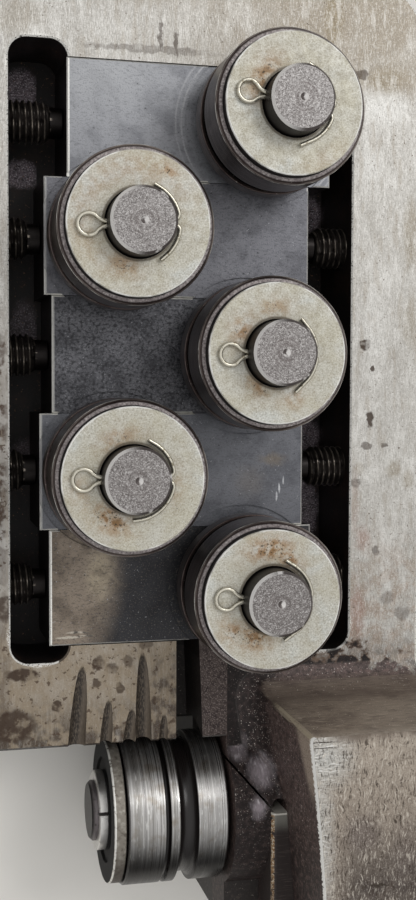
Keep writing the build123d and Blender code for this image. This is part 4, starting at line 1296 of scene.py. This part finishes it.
class STRAIGHTENER_OT_guide(bpy.types.Operator):
    """Make the guide roller with its shaft, thrust washer and snap ring as turned surfaces"""
    bl_idname = "straightener.guide"
    bl_label = "Guide roller and shaft"

    def execute(self, context):
        sizes = context.scene.straightener_sizes
        colours = context.scene.straightener_colours
        middle, low, high = centre_of("guide_roller")
        profile = guide_profile((high[2] - low[2]) / 2, high[0] - low[0], sizes.bore_radius, guide_grooves,
                                0.6 * mm)
        points, attribute = turned(profile, (low[0], middle[1], middle[2]), "X", guide_columns)
        surface("turned_guide_roller", points, turned_steel(colours), "guide_roller",
                "guide_roller", {"turned": attribute})
        middle, low, high = centre_of("guide_washer")
        radius = (high[2] - low[2]) / 2
        width = high[0] - low[0]
        edge = sizes.edge_chamfer
        bore = sizes.bore_radius + 0.25 * mm
        inner, outer, depth = recess
        corners = [(bore, 0, 0), (inner, 0, 0), (inner, depth, 0), (outer, depth, 0), (outer, 0, 0),
                   (radius - edge, 0, 0), (radius, edge, 0), (radius, width - edge, 0),
                   (radius - edge, width, 0), (bore, width, 0)]

        def pitted(angle, r, h):
            rim = np.exp(-((r - radius) / (0.6 * mm)) ** 2)
            return -0.09 * mm * rim * (1 + ripple(angle, 31, 12, 8, 90) * np.cos(h / mm * 2.3)) / 2

        points, attribute = turned(refined(rounded_profile(corners), 0.8 * mm),
                                   (low[0], middle[1], middle[2]),
                                   "X", guide_columns, pitted)
        surface("thrust_washer", points, pitted_steel(colours), "bed", "guide_washer",
                {"turned": attribute})
        middle, low, high = centre_of("guide_shaft")
        radius = (high[2] - low[2]) / 2
        length = high[0] - low[0]
        root = radius - ring_groove_depth
        start, end = ring_groove
        corners = np.array([(0, 0), (radius - 1 * mm, 0), (radius, 1 * mm), (radius, start), (root, start),
                            (root, end), (radius, end), (radius, length), (0, length)])
        points, attribute = turned(refined(corners, 1.5 * mm), (low[0], middle[1], middle[2]), "X",
                                   shaft_columns)
        surface("turned_shaft", points, shaft_steel(), "bed", "guide_shaft",
                {"turned": attribute})
        middle, low, high = centre_of("snap_ring")
        points = snap_ring_points(low, high, middle, ring_bore, edge, ring_gap, ring_gap_angle)
        surface("spring_ring", points, ring_steel(), "bed", "snap_ring")
        return {"FINISHED"}


class STRAIGHTENER_PT_panel(bpy.types.Panel):
    """Steps that dress the straightener head, in order"""
    bl_idname = "STRAIGHTENER_PT_panel"
    bl_label = "Wire straightener head"
    bl_space_type = "VIEW_3D"
    bl_region_type = "UI"
    bl_category = "Straightener"

    def draw(self, context):
        for step in steps:
            self.layout.operator(step.bl_idname)
        for group in (context.scene.straightener_sizes, context.scene.straightener_colours):
            for name in group.bl_rna.properties.keys():
                if name not in ("rna_type", "name"):
                    self.layout.prop(group, name)


steps = (STRAIGHTENER_OT_stage, STRAIGHTENER_OT_casting, STRAIGHTENER_OT_slides, STRAIGHTENER_OT_pins,
         STRAIGHTENER_OT_rollers, STRAIGHTENER_OT_washers, STRAIGHTENER_OT_split_pins,
         STRAIGHTENER_OT_screws, STRAIGHTENER_OT_lock_nuts, STRAIGHTENER_OT_guide)
classes = (StraightenerSizes, StraightenerColours, *steps, STRAIGHTENER_PT_panel)


def register():
    for each in classes:
        bpy.utils.register_class(each)
    bpy.types.Scene.straightener_sizes = bpy.props.PointerProperty(type=StraightenerSizes)
    bpy.types.Scene.straightener_colours = bpy.props.PointerProperty(type=StraightenerColours)


def unregister():
    del bpy.types.Scene.straightener_colours
    del bpy.types.Scene.straightener_sizes
    for each in reversed(classes):
        bpy.utils.unregister_class(each)


def main():
    register()
    for step in steps:
        group, name = step.bl_idname.split(".")
        getattr(getattr(bpy.ops, group), name)()
    boxes = {"cad": cad_box, "visual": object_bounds()}
    plain = {key: [list(map(float, corner)) for corner in box] for key, box in boxes.items()}


if __name__ == "__main__":
    main()
